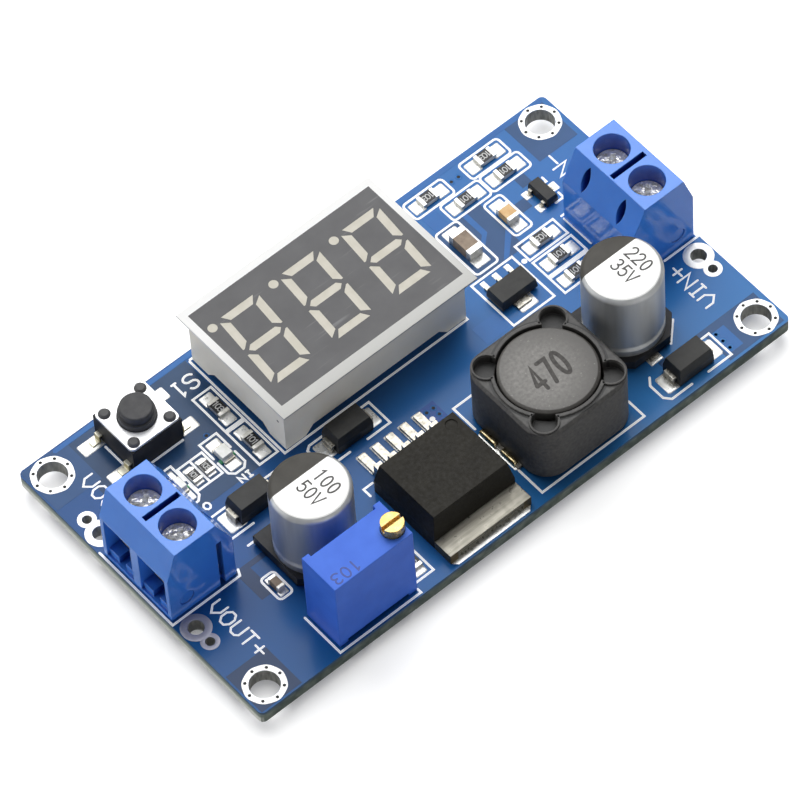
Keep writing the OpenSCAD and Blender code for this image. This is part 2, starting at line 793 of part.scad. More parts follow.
module capacitor_leads() color("silver") {
    for (a = [0, 180]) rotate([0, 0, a]) translate([-cap_lead_w / 2, cap_lead_in, 0])
        cube([cap_lead_w, cap_base / 2 + cap_lead_out - cap_lead_in, cap_base_z]);
}

module output_capacitor_can() on_board(cap_out_x, cap_out_y) capacitor_can();
module output_capacitor_base() on_board(cap_out_x, cap_out_y) capacitor_base();
module output_capacitor_leads() on_board(cap_out_x, cap_out_y) capacitor_leads();
module input_capacitor_can() on_board(cap_in_x, cap_in_y) capacitor_can();
module input_capacitor_base() on_board(cap_in_x, cap_in_y) capacitor_base();
module input_capacitor_leads() on_board(cap_in_x, cap_in_y) capacitor_leads();

module regulator_body() color([0.17, 0.17, 0.16]) {
    on_board(reg_x, reg_y + reg_l / 2) difference() {
        bevelled_block(reg_w, reg_l, reg_h, reg_waist_z, reg_bevel);
        translate([-reg_w / 2 + reg_slug_in, -reg_l / 2 - over, -over])
            cube([reg_w - 2 * reg_slug_in, reg_l - reg_slug_end + over, over + reg_tab_t]);
        for (i = [-2:2]) translate([i * reg_pitch - reg_pin_w / 2, reg_l / 2 - reg_pin_hold,
            reg_pin_z - reg_pin_t]) cube([reg_pin_w, reg_pin_hold + over, reg_pin_t]);
        translate([reg_mark_at[0], reg_mark_at[1], reg_h - reg_mark_deep])
            cylinder(d = reg_mark_d, h = over);
    }
}

// Copper tab: the slug under the body and the wide tongue soldered to the board
module regulator_tab() color("lightgray") {
    on_board(reg_x, reg_y) {
        translate([-reg_w / 2 + reg_slug_in, 0, 0])
            cube([reg_w - 2 * reg_slug_in, reg_l - reg_slug_end, reg_tab_t]);
        difference() {
            translate([-reg_w / 2, -reg_tab, 0]) cube([reg_w, reg_tab, reg_tab_t]);
            translate([-reg_w / 2 + reg_notch_side, -reg_tab - over, -over])
                cube([reg_w - 2 * reg_notch_side, over + reg_notch_deep,
                    over + reg_tab_t - reg_notch_roof]);
        }
    }
}

module regulator_pins() color("silver") {
    on_board(reg_x, reg_y + reg_l) for (i = [-2:2])
        translate([i * reg_pitch, -reg_pin_hold, 0]) rotate([0, 0, 90])
            bent_lead(reg_pin_out + reg_pin_hold, reg_pin_foot, reg_pin_z, reg_pin_w, reg_pin_t);
}

// Trimmer case: standing on two feet, with a rib at each back corner and the screw's bore
module trimmer_case() color([0.25, 0.4, 0.85]) {
    on_board(trim_x, trim_y) difference() {
        union() {
            translate([-trim_l / 2, -trim_w / 2, trim_stand])
                cube([trim_l, trim_w - trim_rib, trim_h - trim_stand]);
            for (s = [-1, 1]) translate([s * (trim_l / 2 - 0.4) - 0.4, trim_w / 2 - trim_rib - 0.1,
                trim_stand]) cube([0.8, trim_rib + 0.1, trim_h - trim_stand]);
            for (s = [-1, 1]) translate([s * (trim_l / 2 - 0.5) - 0.5, -trim_w / 2, 0])
                cube([1, trim_w, trim_stand + 0.1]);
        }
        translate([trim_screw_x, trim_screw_y, trim_h - trim_screw_deep])
            cylinder(d = trim_screw_d + 0.08, h = trim_screw_deep + over);
    }
}

module trimmer_screw() color("goldenrod") {
    on_board(trim_x + trim_screw_x, trim_y + trim_screw_y) difference() {
        translate([0, 0, trim_h - trim_screw_deep + 0.05])
            cylinder(d = trim_screw_d, h = trim_screw_deep + trim_screw_h - 0.05);
        translate([-trim_screw_d, -0.2, trim_h + trim_screw_h - 0.6])
            cube([2 * trim_screw_d, 0.4, 0.6 + over]);
    }
}

module trimmer_pins() color("silver") {
    for (p = trimmer_places()) translate([p[0], p[1], -pin_below])
        cylinder(d = trim_pin_d, h = pin_below + board_t + trim_stand);
}

module diode_bodies() color([0.14, 0.14, 0.14]) {
    for (p = diodes) on_board(p[0], p[1]) difference() {
        translate([0, 0, diode_gap])
            bevelled_block(diode_l, diode_w, diode_h - diode_gap, diode_lead_z, diode_bevel);
        for (a = [0, 180]) rotate([0, 0, a])
            translate([diode_l / 2 - diode_hold, -diode_lead_w / 2, diode_lead_z - diode_lead_t])
                cube([diode_hold + over, diode_lead_w, diode_lead_t]);
    }
}

module diode_leads() color("silver") {
    for (p = diodes, a = [0, 180]) on_board(p[0], p[1]) rotate([0, 0, a])
        translate([diode_l / 2 - diode_hold, 0, 0])
            bent_lead(diode_lead_out + diode_hold, diode_foot, diode_lead_z, diode_lead_w, diode_lead_t);
}

// Meter supply in a small flat package: three leads on one side and a wide tab on the other
module supply_body() color([0.2, 0.2, 0.2]) {
    on_board(supply_at[0], supply_at[1]) translate([0, 0, supply_frame_t])
        bevelled_block(supply_size[0], supply_size[1], supply_size[2], supply_frame_t, supply_bevel);
}

module supply_leads() color("silver") {
    on_board(supply_at[0], supply_at[1]) {
        for (i = [-1:1]) translate([i * supply_pitch - supply_lead[0] / 2, supply_lead_y, 0])
            cube([supply_lead[0], supply_lead[1], supply_frame_t]);
        translate([-supply_tab[0] / 2, supply_tab_y, 0])
            cube([supply_tab[0], supply_tab[1], supply_frame_t]);
    }
}

module transistor_body() color([0.16, 0.16, 0.16]) {
    on_board(transistor_at[0], transistor_at[1]) translate([0, 0, transistor_gap])
        bevelled_block(transistor_size[0], transistor_size[1], transistor_size[2],
            transistor_size[2] / 2, transistor_bevel);
}

module transistor_leads() color("silver") {
    on_board(transistor_at[0], transistor_at[1]) {
        for (s = [-1, 1]) translate([-transistor_size[0] / 2, s * transistor_pitch / 2, 0])
            rotate([0, 0, 180]) shaped_lead(transistor_lead);
        translate([transistor_size[0] / 2, 0, 0]) shaped_lead(transistor_lead);
    }
}

// A chip part lying along X: the ceramic body between two plated ends that wrap around it
module chip_body(l, w, h) {
    part = end_part * l;
    translate([-l / 2 + end_skin, -w / 2 + end_skin, end_skin])
        cube([l - 2 * end_skin, w - 2 * end_skin, h - 2 * end_skin]);
    translate([-l / 2 + part, -w / 2, 0]) cube([l - 2 * part, w, h]);
}

module chip_ends(l, w, h) {
    part = end_part * l;
    for (s = [-1, 1]) difference() {
        translate([s * (l - part) / 2 - part / 2, -w / 2, 0]) cube([part, w, h]);
        translate([-l / 2 + end_skin, -w / 2 + end_skin, end_skin])
            cube([l - 2 * end_skin, w - 2 * end_skin, h - 2 * end_skin]);
    }
}

module each_resistor() {
    for (p = resistors_x) on_board(p[0], p[1]) children(0);
    for (p = resistors_y) on_board(p[0], p[1]) rotate([0, 0, 90]) children(0);
    for (p = resistors_small) on_board(p[0], p[1]) rotate([0, 0, 90]) scale(small_chip) children(0);
}

module resistor_bodies() color([0.2, 0.2, 0.2]) each_resistor() chip_body(chip_l, chip_w, chip_h);
module resistor_ends() color("silver") each_resistor() chip_ends(chip_l, chip_w, chip_h);

// Chip capacitors in three sizes, lying along Y
module each_ceramic() {
    for (p = ceramics) on_board(p[0], p[1]) rotate([0, 0, 90]) children(0);
    for (p = ceramics_large) on_board(p[0], p[1]) rotate([0, 0, 90]) children(1);
    for (p = ceramics_small) on_board(p[0], p[1]) rotate([0, 0, 90]) children(2);
}

module ceramic_bodies() color("tan") each_ceramic() {
    chip_body(ceramic_size[0], ceramic_size[1], ceramic_size[2]);
    chip_body(ceramic_large[0], ceramic_large[1], ceramic_large[2]);
    chip_body(ceramic_small[0], ceramic_small[1], ceramic_small[2]);
}

module ceramic_ends() color("silver") each_ceramic() {
    chip_ends(ceramic_size[0], ceramic_size[1], ceramic_size[2]);
    chip_ends(ceramic_large[0], ceramic_large[1], ceramic_large[2]);
    chip_ends(ceramic_small[0], ceramic_small[1], ceramic_small[2]);
}

// Indicator lamps: a thin carrier with a clear block on it, and two plated ends
module led_bodies() color("ivory") {
    for (p = leds) on_board(p[0], p[1]) {
        translate([-led_size[0] / 2, -led_size[1] / 2 + led_end, 0])
            cube([led_size[0], led_size[1] - 2 * led_end, led_carrier_t]);
        translate([-led_size[0] / 2, -led_size[1] / 2 + led_lens_in, led_carrier_t])
            cube([led_size[0], led_size[1] - 2 * led_lens_in, led_size[2] - led_carrier_t]);
    }
}

module led_ends() color("silver") {
    for (p = leds, s = [-1, 1]) on_board(p[0], p[1])
        translate([-led_size[0] / 2, s * (led_size[1] - led_end) / 2 - led_end / 2, 0])
            cube([led_size[0], led_end, led_carrier_t]);
}

// Meter controller under the board, upside down behind the display
module controller_body() color([0.15, 0.15, 0.15]) {
    translate([controller_at[0], controller_at[1], -controller_gap]) mirror([0, 0, 1])
        bevelled_block(controller_size[0], controller_size[1], controller_size[2], controller_waist,
            controller_bevel);
}

module controller_leads() color("silver") {
    translate([controller_at[0], controller_at[1], 0]) mirror([0, 0, 1])
        for (i = [-4.5:4.5], a = [90, -90]) rotate([0, 0, a])
            translate([controller_size[1] / 2, i * controller_pitch, 0]) shaped_lead(controller_lead);
}

board();
solder_joints();
output_terminal_block();
input_terminal_block();
output_plus_screw();
output_minus_screw();
input_plus_screw();
input_minus_screw();
output_plus_clamp();
output_minus_clamp();
input_plus_clamp();
input_minus_clamp();
output_contacts();
input_contacts();
display_shell();
display_film();
display_segments();
display_base();
display_pins();
switch_body();
switch_cover();
switch_button();
switch_dome();
switch_legs();
inductor_shield();
inductor_core();
inductor_winding();
inductor_terminals();
output_capacitor_can();
output_capacitor_base();
output_capacitor_leads();
input_capacitor_can();
input_capacitor_base();
input_capacitor_leads();
regulator_body();
regulator_tab();
regulator_pins();
trimmer_case();
trimmer_screw();
trimmer_pins();
diode_bodies();
diode_leads();
supply_body();
supply_leads();
transistor_body();
transistor_leads();
resistor_bodies();
resistor_ends();
ceramic_bodies();
ceramic_ends();
led_bodies();
led_ends();
controller_body();
controller_leads();
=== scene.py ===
# A voltage converter module with a three digit meter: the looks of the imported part, in its own frame.
import math

import bmesh
import bpy
from mathutils import Matrix, Vector


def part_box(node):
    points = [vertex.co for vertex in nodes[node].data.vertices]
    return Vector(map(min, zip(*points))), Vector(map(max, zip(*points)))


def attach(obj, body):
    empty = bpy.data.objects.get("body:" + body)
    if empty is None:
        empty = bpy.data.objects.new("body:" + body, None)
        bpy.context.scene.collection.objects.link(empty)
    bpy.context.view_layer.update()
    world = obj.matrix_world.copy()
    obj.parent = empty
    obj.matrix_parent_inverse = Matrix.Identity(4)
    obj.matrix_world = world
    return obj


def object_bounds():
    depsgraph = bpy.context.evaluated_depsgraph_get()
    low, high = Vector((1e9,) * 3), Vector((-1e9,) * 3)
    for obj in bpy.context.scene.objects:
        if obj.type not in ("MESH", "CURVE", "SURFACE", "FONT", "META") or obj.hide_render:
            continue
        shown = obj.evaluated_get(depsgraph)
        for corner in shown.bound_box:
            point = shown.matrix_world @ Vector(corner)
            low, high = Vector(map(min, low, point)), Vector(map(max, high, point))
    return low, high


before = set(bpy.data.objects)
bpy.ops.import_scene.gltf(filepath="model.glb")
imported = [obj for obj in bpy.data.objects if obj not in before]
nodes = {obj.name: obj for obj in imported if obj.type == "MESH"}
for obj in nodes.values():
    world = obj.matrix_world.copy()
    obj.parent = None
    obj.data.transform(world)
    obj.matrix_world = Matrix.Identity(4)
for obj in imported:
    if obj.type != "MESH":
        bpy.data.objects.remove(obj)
cad_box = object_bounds()

# Board
# A glass-epoxy panel, routed to size and drilled. Both faces carry copper under a glossy blue solder
# mask. The sawn edge shows the bare laminate, and the holes are plated and tinned inside.
MM = 0.001


def top_of(name):
    """The height of a CAD node's top, in millimetres."""
    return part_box(name)[1][2] / MM


board_top = top_of("board")
board_half_l, board_half_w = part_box("board")[1][:2]
edge_strip = 0.7 * MM


def screen(red, green, blue):
    """The shader's linear colour of one given as it looks on a screen, from 0 to 255."""
    def linear(level):
        share = level / 255
        return share / 12.92 if share <= 0.04045 else ((share + 0.055) / 1.055) ** 2.4
    return (linear(red), linear(green), linear(blue), 1.0)


def new_finish(name, colour, roughness, metal=0.0, shine=0.5, glow=0.0, glow_colour=(255, 255, 255)):
    """A finish whose even values stand on the shader's own sockets; colours are as on a screen."""
    finish = bpy.data.materials.new(name)
    finish.use_nodes = True
    shader = finish.node_tree.nodes["Principled BSDF"]
    even = {"Base Color": screen(*colour), "Roughness": roughness, "Metallic": metal,
            "Specular IOR Level": shine, "Emission Strength": glow, "Emission Color": screen(*glow_colour)}
    for socket, value in even.items():
        shader.inputs[socket].default_value = value
    return finish


def add_node(finish, kind, inputs=None, **settings):
    """One node of a finish with its settings; an input is a value or the output of another node."""
    tree = finish.node_tree
    node = tree.nodes.new(kind)
    for key, value in settings.items():
        setattr(node, key, value)
    for socket, value in (inputs or {}).items():
        if isinstance(value, bpy.types.NodeSocket):
            tree.links.new(value, node.inputs[socket])
        else:
            node.inputs[socket].default_value = value
    return node


def calc(finish, operation, *values):
    """One step of arithmetic on values and outputs of nodes."""
    return add_node(finish, "ShaderNodeMath", dict(enumerate(values)), operation=operation).outputs[0]


def below(finish, value, limit):
    """1 where a value is under its limit, and otherwise 0."""
    return calc(finish, "LESS_THAN", value, limit)


def both(finish, share, *others):
    """The product of shares: 1 where all of them are."""
    for other in others:
        share = calc(finish, "MULTIPLY", share, other)
    return share


def grain(finish, size, detail=3.0, stretch=(1, 1, 1)):
    """Noise from 0 to 1 in the piece's own frame, with features of about size millimetres."""
    place = add_node(finish, "ShaderNodeTexCoord").outputs["Object"]
    scale = [part / (size * MM) for part in stretch]
    scaled = add_node(finish, "ShaderNodeMapping", {"Vector": place, "Scale": scale}).outputs[0]
    inputs = {"Vector": scaled, "Scale": 1.0, "Detail": detail}
    return add_node(finish, "ShaderNodeTexNoise", inputs).outputs[0]


def between(finish, share, low, high, start=0.3, end=0.7):
    """Runs from low to high while share goes from start to end: numbers, or colours as on a screen."""
    limits = {"Value": share, "From Min": start, "From Max": end}
    if isinstance(low, float):
        limits.update({"To Min": low, "To Max": high})
        return add_node(finish, "ShaderNodeMapRange", limits).outputs[0]
    mix = {0: add_node(finish, "ShaderNodeMapRange", limits).outputs[0]}
    for socket, end_tone in ((6, low), (7, high)):
        mix[socket] = screen(*end_tone) if isinstance(end_tone, tuple) else end_tone
    return add_node(finish, "ShaderNodeMix", mix, data_type="RGBA").outputs[2]


def join(finish, source, socket="Base Color"):
    """Leads a node's output to a socket of the shader."""
    finish.node_tree.links.new(source, finish.node_tree.nodes["Principled BSDF"].inputs[socket])


def relief(finish, size=None, depth=0.0, edge=0.0, detail=2.0, stretch=(1, 1, 1)):
    """Small relief: bumps of that size and depth, and edges rounded off by edge, in millimetres."""
    normal = None
    if edge:
        normal = add_node(finish, "ShaderNodeBevel", {"Radius": edge * MM}, samples=6).outputs[0]
    if size:
        bumps = {"Height": grain(finish, size, detail, stretch), "Distance": depth * MM, "Strength": 1.0}
        if normal:
            bumps["Normal"] = normal
        normal = add_node(finish, "ShaderNodeBump", bumps).outputs[0]
    join(finish, normal, "Normal")


def position(finish):
    """The point's three coordinates, and its normal's, in the piece's own frame."""
    place = add_node(finish, "ShaderNodeTexCoord")
    spot = add_node(finish, "ShaderNodeSeparateXYZ", {0: place.outputs["Object"]})
    facing = add_node(finish, "ShaderNodeSeparateXYZ", {0: place.outputs["Normal"]})
    return spot.outputs, facing.outputs


def dress(finish, *names):
    """Puts a finish on CAD nodes in place of their plain colours."""
    for name in names:
        if not nodes[name].material_slots:
            nodes[name].data.materials.append(finish)
        for slot in nodes[name].material_slots:
            slot.material = finish


mask = new_finish("blue_solder_mask", (34, 85, 141), 0.2, shine=0.2)
spot, facing = position(mask)
upright = below(mask, calc(mask, "ABSOLUTE", facing[2]), 0.5)
within_l = below(mask, calc(mask, "ABSOLUTE", spot[0]), board_half_l - edge_strip)
within_w = below(mask, calc(mask, "ABSOLUTE", spot[1]), board_half_w - edge_strip)
plated = both(mask, upright, within_l, within_w)
# Painted sheen: the mask's blue is drawn lighter towards the +X end, and lighter again near the front edge,
# where the lamp's sheen lies; the noise adds a random tone.
lit_side_and_cloud = calc(mask, "ADD", spot[0], calc(mask, "MULTIPLY", grain(mask, 9.0), 20 * MM))
lit_side_ends = (-12 * MM, 30 * MM)
blue = between(mask, lit_side_and_cloud, (28, 82, 142), (45, 114, 184), *lit_side_ends)
front_sheen_blue = between(mask, lit_side_and_cloud, (26, 92, 156), (52, 124, 192), *lit_side_ends)
blue = between(mask, spot[1], front_sheen_blue, blue, -16 * MM, -3 * MM)
fibres = grain(mask, 0.5, 4.0, (0.3, 0.3, 3))
laminate = between(mask, fibres, (128, 142, 132), (166, 176, 162))
# Painted light: the lower half of the edge that faces −X is drawn nearly white, for light bounced up from
# the table.
low_half = between(mask, spot[2], 1.0, 0.0, 0.5 * MM, 0.9 * MM)
painted_bounce = both(mask, low_half, below(mask, facing[0], -0.5))
laminate = between(mask, painted_bounce, laminate, (240, 242, 234), 0.0, 1.0)
# Painted shade: the edge that faces −Y is drawn darker, in patches.
painted_front_shade = both(mask, below(mask, facing[1], -0.5), grain(mask, 1.5))
laminate = between(mask, painted_front_shade, laminate, (84, 96, 92), 0.1, 0.6)
laminate = between(mask, spot[2], laminate, (58, 90, 128), 1.1 * MM, 1.5 * MM)
bare = between(mask, upright, blue, laminate, 0.0, 1.0)
streaks = grain(mask, 0.3, 2.0, (1, 1, 0.2))
barrel = between(mask, streaks, (150, 150, 146), (206, 206, 200))
join(mask, between(mask, plated, bare, barrel, 0.0, 1.0))
join(mask, calc(mask, "MULTIPLY", plated, 0.4), "Metallic")
join(mask, between(mask, upright, 0.2, 0.5, 0.0, 1.0), "Roughness")
relief(mask, 1.6, 0.002, detail=3.0)
dress(mask, "board")

# Copper areas
# The copper of the board shows through the mask as a lighter blue than the bare laminate between its
# areas. Each area stands a hair above the board's face, as the etched foil does.
foil_rise = 0.012
trace_rise = 1.5 * foil_rise


def vertex(patch, x, y, z):
    """A corner of a mesh, given in millimetres."""
    return patch.verts.new((x * MM, y * MM, z * MM))


def flat_plate(patch, outline, low, high, sides=None):
    """A flat plate: its outline in millimetres, its underside and its top, and all or some of its sides."""
    lower = [vertex(patch, x, y, low) for x, y in outline]
    upper = [vertex(patch, x, y, high) for x, y in outline]
    patch.faces.new(upper)
    patch.faces.new(lower[::-1])
    for i in sides or range(len(outline)):
        patch.faces.new((lower[i - 1], lower[i], upper[i], upper[i - 1]))


def box_outline(left, right, front, back, cut=0.0):
    """A rectangle's outline, its corners cut off by that much."""
    if not cut:
        return [(left, front), (right, front), (right, back), (left, back)]
    return [(left + cut, front), (right - cut, front), (right, front + cut), (right, back - cut),
            (right - cut, back), (left + cut, back), (left, back - cut), (left, front + cut)]


def new_object(name, patch, finish, smooth=None):
    """Ends a mesh as an object in one finish; smooth is the sharpest angle that is still soft."""
    bmesh.ops.recalc_face_normals(patch, faces=patch.faces)
    mesh = bpy.data.meshes.new(name)
    patch.to_mesh(mesh)
    patch.free()
    mesh.materials.append(finish)
    if smooth:
        mesh.shade_smooth()
        mesh.set_sharp_from_angle(angle=math.radians(smooth))
    thing = bpy.data.objects.new(name, mesh)
    bpy.context.scene.collection.objects.link(thing)
    return thing


def new_piece(name, patch, finish, smooth=None):
    """Ends a mesh as a piece of the module, in the finish of a slot."""
    piece = new_object(name, patch, finish, smooth)
    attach(piece, "module")


def mask_tone(name, dark, light, output_end=None):
    """The mask over one kind of ground, cloudy between two blues, and perhaps other at the output end."""
    tone = new_finish(name, light, 0.2, shine=0.2)
    cloudy = between(tone, grain(tone, 5.0), dark, light)
    if output_end:
        place = position(tone)[0]
        inward = calc(tone, "MAXIMUM", place[0], place[1])
        cloudy = between(tone, inward, output_end, cloudy, -4 * MM, 2 * MM)
    join(tone, cloudy)
    relief(tone, 1.6, 0.002, detail=3.0)
    return tone


def holed_plate(patch, left, right, front, back, x, y, radius, low, high, steps=48):
    """A flat rectangular plate with a round hole, in millimetres."""
    corners = [math.atan2(b - y, a - x) % (2 * math.pi) for a in (left, right) for b in (front, back)]
    turns = sorted([2 * math.pi * i / steps for i in range(steps)] + corners)
    rounds = []
    for level in (low, high):
        inner, outer = [], []
        for turn in turns:
            ray = (math.cos(turn), math.sin(turn))
            to_side = ((right if ray[0] > 0 else left) - x) / ray[0] if abs(ray[0]) > 1e-9 else 1e9
            to_end = ((back if ray[1] > 0 else front) - y) / ray[1] if abs(ray[1]) > 1e-9 else 1e9
            for ring, reach in ((inner, radius), (outer, min(to_side, to_end))):
                ring.append(vertex(patch, x + reach * ray[0], y + reach * ray[1], level))
        rounds += [inner, outer]
    inner_low, outer_low, inner_high, outer_high = rounds
    for one, other in ((inner_high, outer_high), (outer_low, inner_low),
                       (outer_high, outer_low), (inner_low, inner_high)):
        for i in range(len(turns)):
            patch.faces.new((one[i - 1], other[i - 1], other[i], one[i]))


copper_tone = mask_tone("mask_over_copper", (40, 104, 176), (50, 116, 188))
gap_tone = mask_tone("mask_over_laminate", (42, 82, 130), (52, 92, 142), (40, 66, 104))
foil_areas = [
    (9.6, 12.8, -0.75, 1.55), (-29, 32.6, 17.35, 17.85, 0.2), (14.5, 16.2, 12.4, 14.7),
    (25.8, 27.75, -17.05, -14.2),
]
foil_traces = [
    [(17.6, 12.2), (17.6, 9.3), (16.7, 8.4), (16.7, 7.8), (18.2, 9.2), (18.2, 12.2)],
    [(17.2, 5.6), (17.9, 5.6), (19.75, 7.4), (19.75, 8.3)],
]
laminate_gaps = [
    (-24.9, -23.4, -8.4, -4.3), (-23.4, -21.2, -4.9, -4.3), (20.2, 28, -13.95, -13.3),
    (13.9, 19.85, 5.5, 12.25), (22.2, 23.5, 8.6, 9.9), (24.2, 25.4, 10.8, 12.1), (25.5, 28, -17.7, -13.95),
]
ring_gaps = [
    (27.5, 32.4, 12.1, 17.4, 30.65, 15.65), (-32.8, -27.95, -17.8, -12.6, -30.65, -15.65),
    (-32.8, -27.4, 12.2, 17.8, -30.65, 15.65), (28, 32.4, -17.7, -13.3, 30.65, -15.65),
]
ring_gap_r = 1.7
under_areas = [
    (-27.5, -13.5, -17.2, -3.4), (-12.5, 27.3, -17.2, -9.2), (-11, 26, -8.2, 0.6),
    (-26.5, -13.5, 4.6, 17.2), (12.2, 27.3, 4.6, 17.2),
]
under_cut = 1.2
patch = bmesh.new()
for outline in [box_outline(*area) for area in foil_areas] + foil_traces:
    flat_plate(patch, outline, board_top, board_top + trace_rise)
for area in under_areas:
    flat_plate(patch, box_outline(*area, under_cut), -foil_rise, 0)
new_piece("copper_areas", patch, copper_tone)
deep_tone = mask_tone("mask_over_a_flood", (26, 74, 150), (32, 82, 160))
deep_area = (-0.35, 1.5, -4.75, -2.1)
patch = bmesh.new()
flat_plate(patch, box_outline(*deep_area), board_top, board_top + foil_rise)
new_piece("deep_areas", patch, deep_tone)
patch = bmesh.new()
for area in laminate_gaps:
    flat_plate(patch, box_outline(*area), board_top, board_top + foil_rise)
for area in ring_gaps:
    holed_plate(patch, *area, ring_gap_r, board_top, board_top + foil_rise)
new_piece("laminate_gaps", patch, gap_tone)
rear_tone = mask_tone("mask_over_the_rear", (36, 68, 104), (46, 80, 120))
rear_gap = [(-28.4, 3.2), (-13, 3.2), (-13, 17.3), (-27.4, 17.3), (-27.4, 12.2), (-28.4, 12.2)]
patch = bmesh.new()
flat_plate(patch, rear_gap, board_top, board_top + foil_rise)
new_piece("rear_gap", patch, rear_tone)

# Rings and wire pads
# Bare copper around the mounting holes and the wire holes, tinned by hot air levelling, so that each
# ring is a low bead. Eight stitching holes stand around every mounting hole.
ring_rise = 0.05
ring_bore, ring_r, ring_swell, ring_steps = 1.51, 2.15, 0.012, 64
mount_at = [(x, y) for x in (-30.65, 30.65) for y in (-15.65, 15.65)]
wire_at = [(x, 0.45 + side * reach, outer, inner) for x in (-31.4, 31.4) for side in (-1, 1)
           for reach, outer, inner in ((7.05, 1.54, 0.81), (9.1, 0.95, 0.485))]
stitch_reach, stitch_r = 1.84, 0.17
stitch_low = board_top + 0.6 * ring_rise
stitch_high = stitch_low + 0.025


def lathe(patch, x, y, profile, steps=40, swell=0.0):
    """Turns a closed profile of radius and height about an upright axis; its rim may swell eight times."""
    rounds = []
    widest = max(radius for radius, height in profile)
    for radius, height in profile:
        if radius < 1e-6:
            rounds.append([vertex(patch, x, y, height)] * steps)
            continue
        wave = swell if radius > 0.9 * widest else 0.0
        turns = [2 * math.pi * i / steps for i in range(steps)]
        reach = [radius * (1 + wave * math.cos(8 * a)) for a in turns]
        rounds.append([vertex(patch, x + r * math.cos(a), y + r * math.sin(a), height)
                       for r, a in zip(reach, turns)])
    for lower, upper in zip(rounds, rounds[1:] + rounds[:1]):
        for i in range(steps):
            corners = dict.fromkeys((lower[i - 1], lower[i], upper[i], upper[i - 1]))
            if len(corners) > 2:
                patch.faces.new(corners)


def bead(inner, outer, low, high):
    """The section of a low tinned ring, rounded over its top."""
    soft = 0.12 * (outer - inner)
    crest = low + 0.75 * (high - low)
    return [(inner, low), (outer, low), (outer - 0.2 * soft, crest), (outer - soft, high),
            (inner + soft, high), (inner + 0.2 * soft, crest)]


def disc(radius, low, high):
    """The section of a flat round plate."""
    return [(0, low), (radius, low), (radius, high), (0, high)]


def above(finish, value, limit):
    """1 where a value is over its limit, and otherwise 0."""
    return calc(finish, "GREATER_THAN", value, limit)


def mottle(finish, size, low, high, socket="Base Color", detail=3.0, stretch=(1, 1, 1)):
    """Lets a socket drift between two values or colours, in patches of about size millimetres."""
    join(finish, between(finish, grain(finish, size, detail, stretch), low, high), socket)


tin = new_finish("tinned_copper", (250, 250, 247), 0.36, 0.3)
spot = position(tin)[0]
bright = between(tin, grain(tin, 0.9), (240, 240, 236), (253, 253, 251))
# Painted shade: the rings in front of the output block, in its shadow, are drawn darker and bluish.
shadowed_rings = both(tin, below(tin, spot[0], -29 * MM), below(tin, spot[1], -4 * MM),
               above(tin, spot[1], -11 * MM))
join(tin, between(tin, shadowed_rings, bright, (150, 150, 164), 0.0, 1.0))
mottle(tin, 0.5, 0.3, 0.45, "Roughness")
relief(tin, 0.8, 0.004)
dark_hole = new_finish("shade_in_a_hole", (14, 15, 17), 0.7)
mottle(dark_hole, 0.2, (9, 10, 12), (24, 25, 28))

patch = bmesh.new()
for x, y in mount_at:
    lathe(patch, x, y, bead(ring_bore, ring_r, board_top, board_top + ring_rise), ring_steps, ring_swell)
    lathe(patch, x, y, bead(ring_bore, ring_r, -ring_rise, 0), ring_steps, ring_swell)
for x, y, outer, inner in wire_at:
    rise = ring_rise if outer > 1 else 0.7 * ring_rise
    lathe(patch, x, y, bead(inner, outer, board_top, board_top + rise))
    lathe(patch, x, y, bead(inner, outer, -rise, 0))
new_piece("tinned_rings", patch, tin, 50)
patch = bmesh.new()
for x, y in mount_at:
    for i in range(8):
        angle = math.pi / 4 * i
        at = (x + stitch_reach * math.cos(angle), y + stitch_reach * math.sin(angle))
        lathe(patch, *at, disc(stitch_r, stitch_low, stitch_high), 14)
new_piece("stitching_holes", patch, dark_hole)

# Vias
# Small plated holes that join the copper of the two faces. The mask covers their rims, so each is a
# low blue ring around a dark point.
via_at = [
    (19.55, 16.05), (20.45, 16.05), (26.47, -14.55), (26.47, -15.55), (26.47, -16.55),
    (0.17, -2.8), (1.0, -2.8), (1.0, -3.7), (1.05, -4.6), (-16.99, 9.28),
]
via_top = board_top + 0.03
via_rim = [(0.16, board_top), (0.36, board_top), (0.32, via_top), (0.2, via_top)]
via_core = disc(0.17, board_top, board_top + 0.018)
patch = bmesh.new()
for x, y in via_at:
    lathe(patch, x, y, via_rim, 18)
new_piece("via_rims", patch, mask, 50)
patch = bmesh.new()
for x, y in via_at:
    lathe(patch, x, y, via_core, 12)
new_piece("via_points", patch, dark_hole)

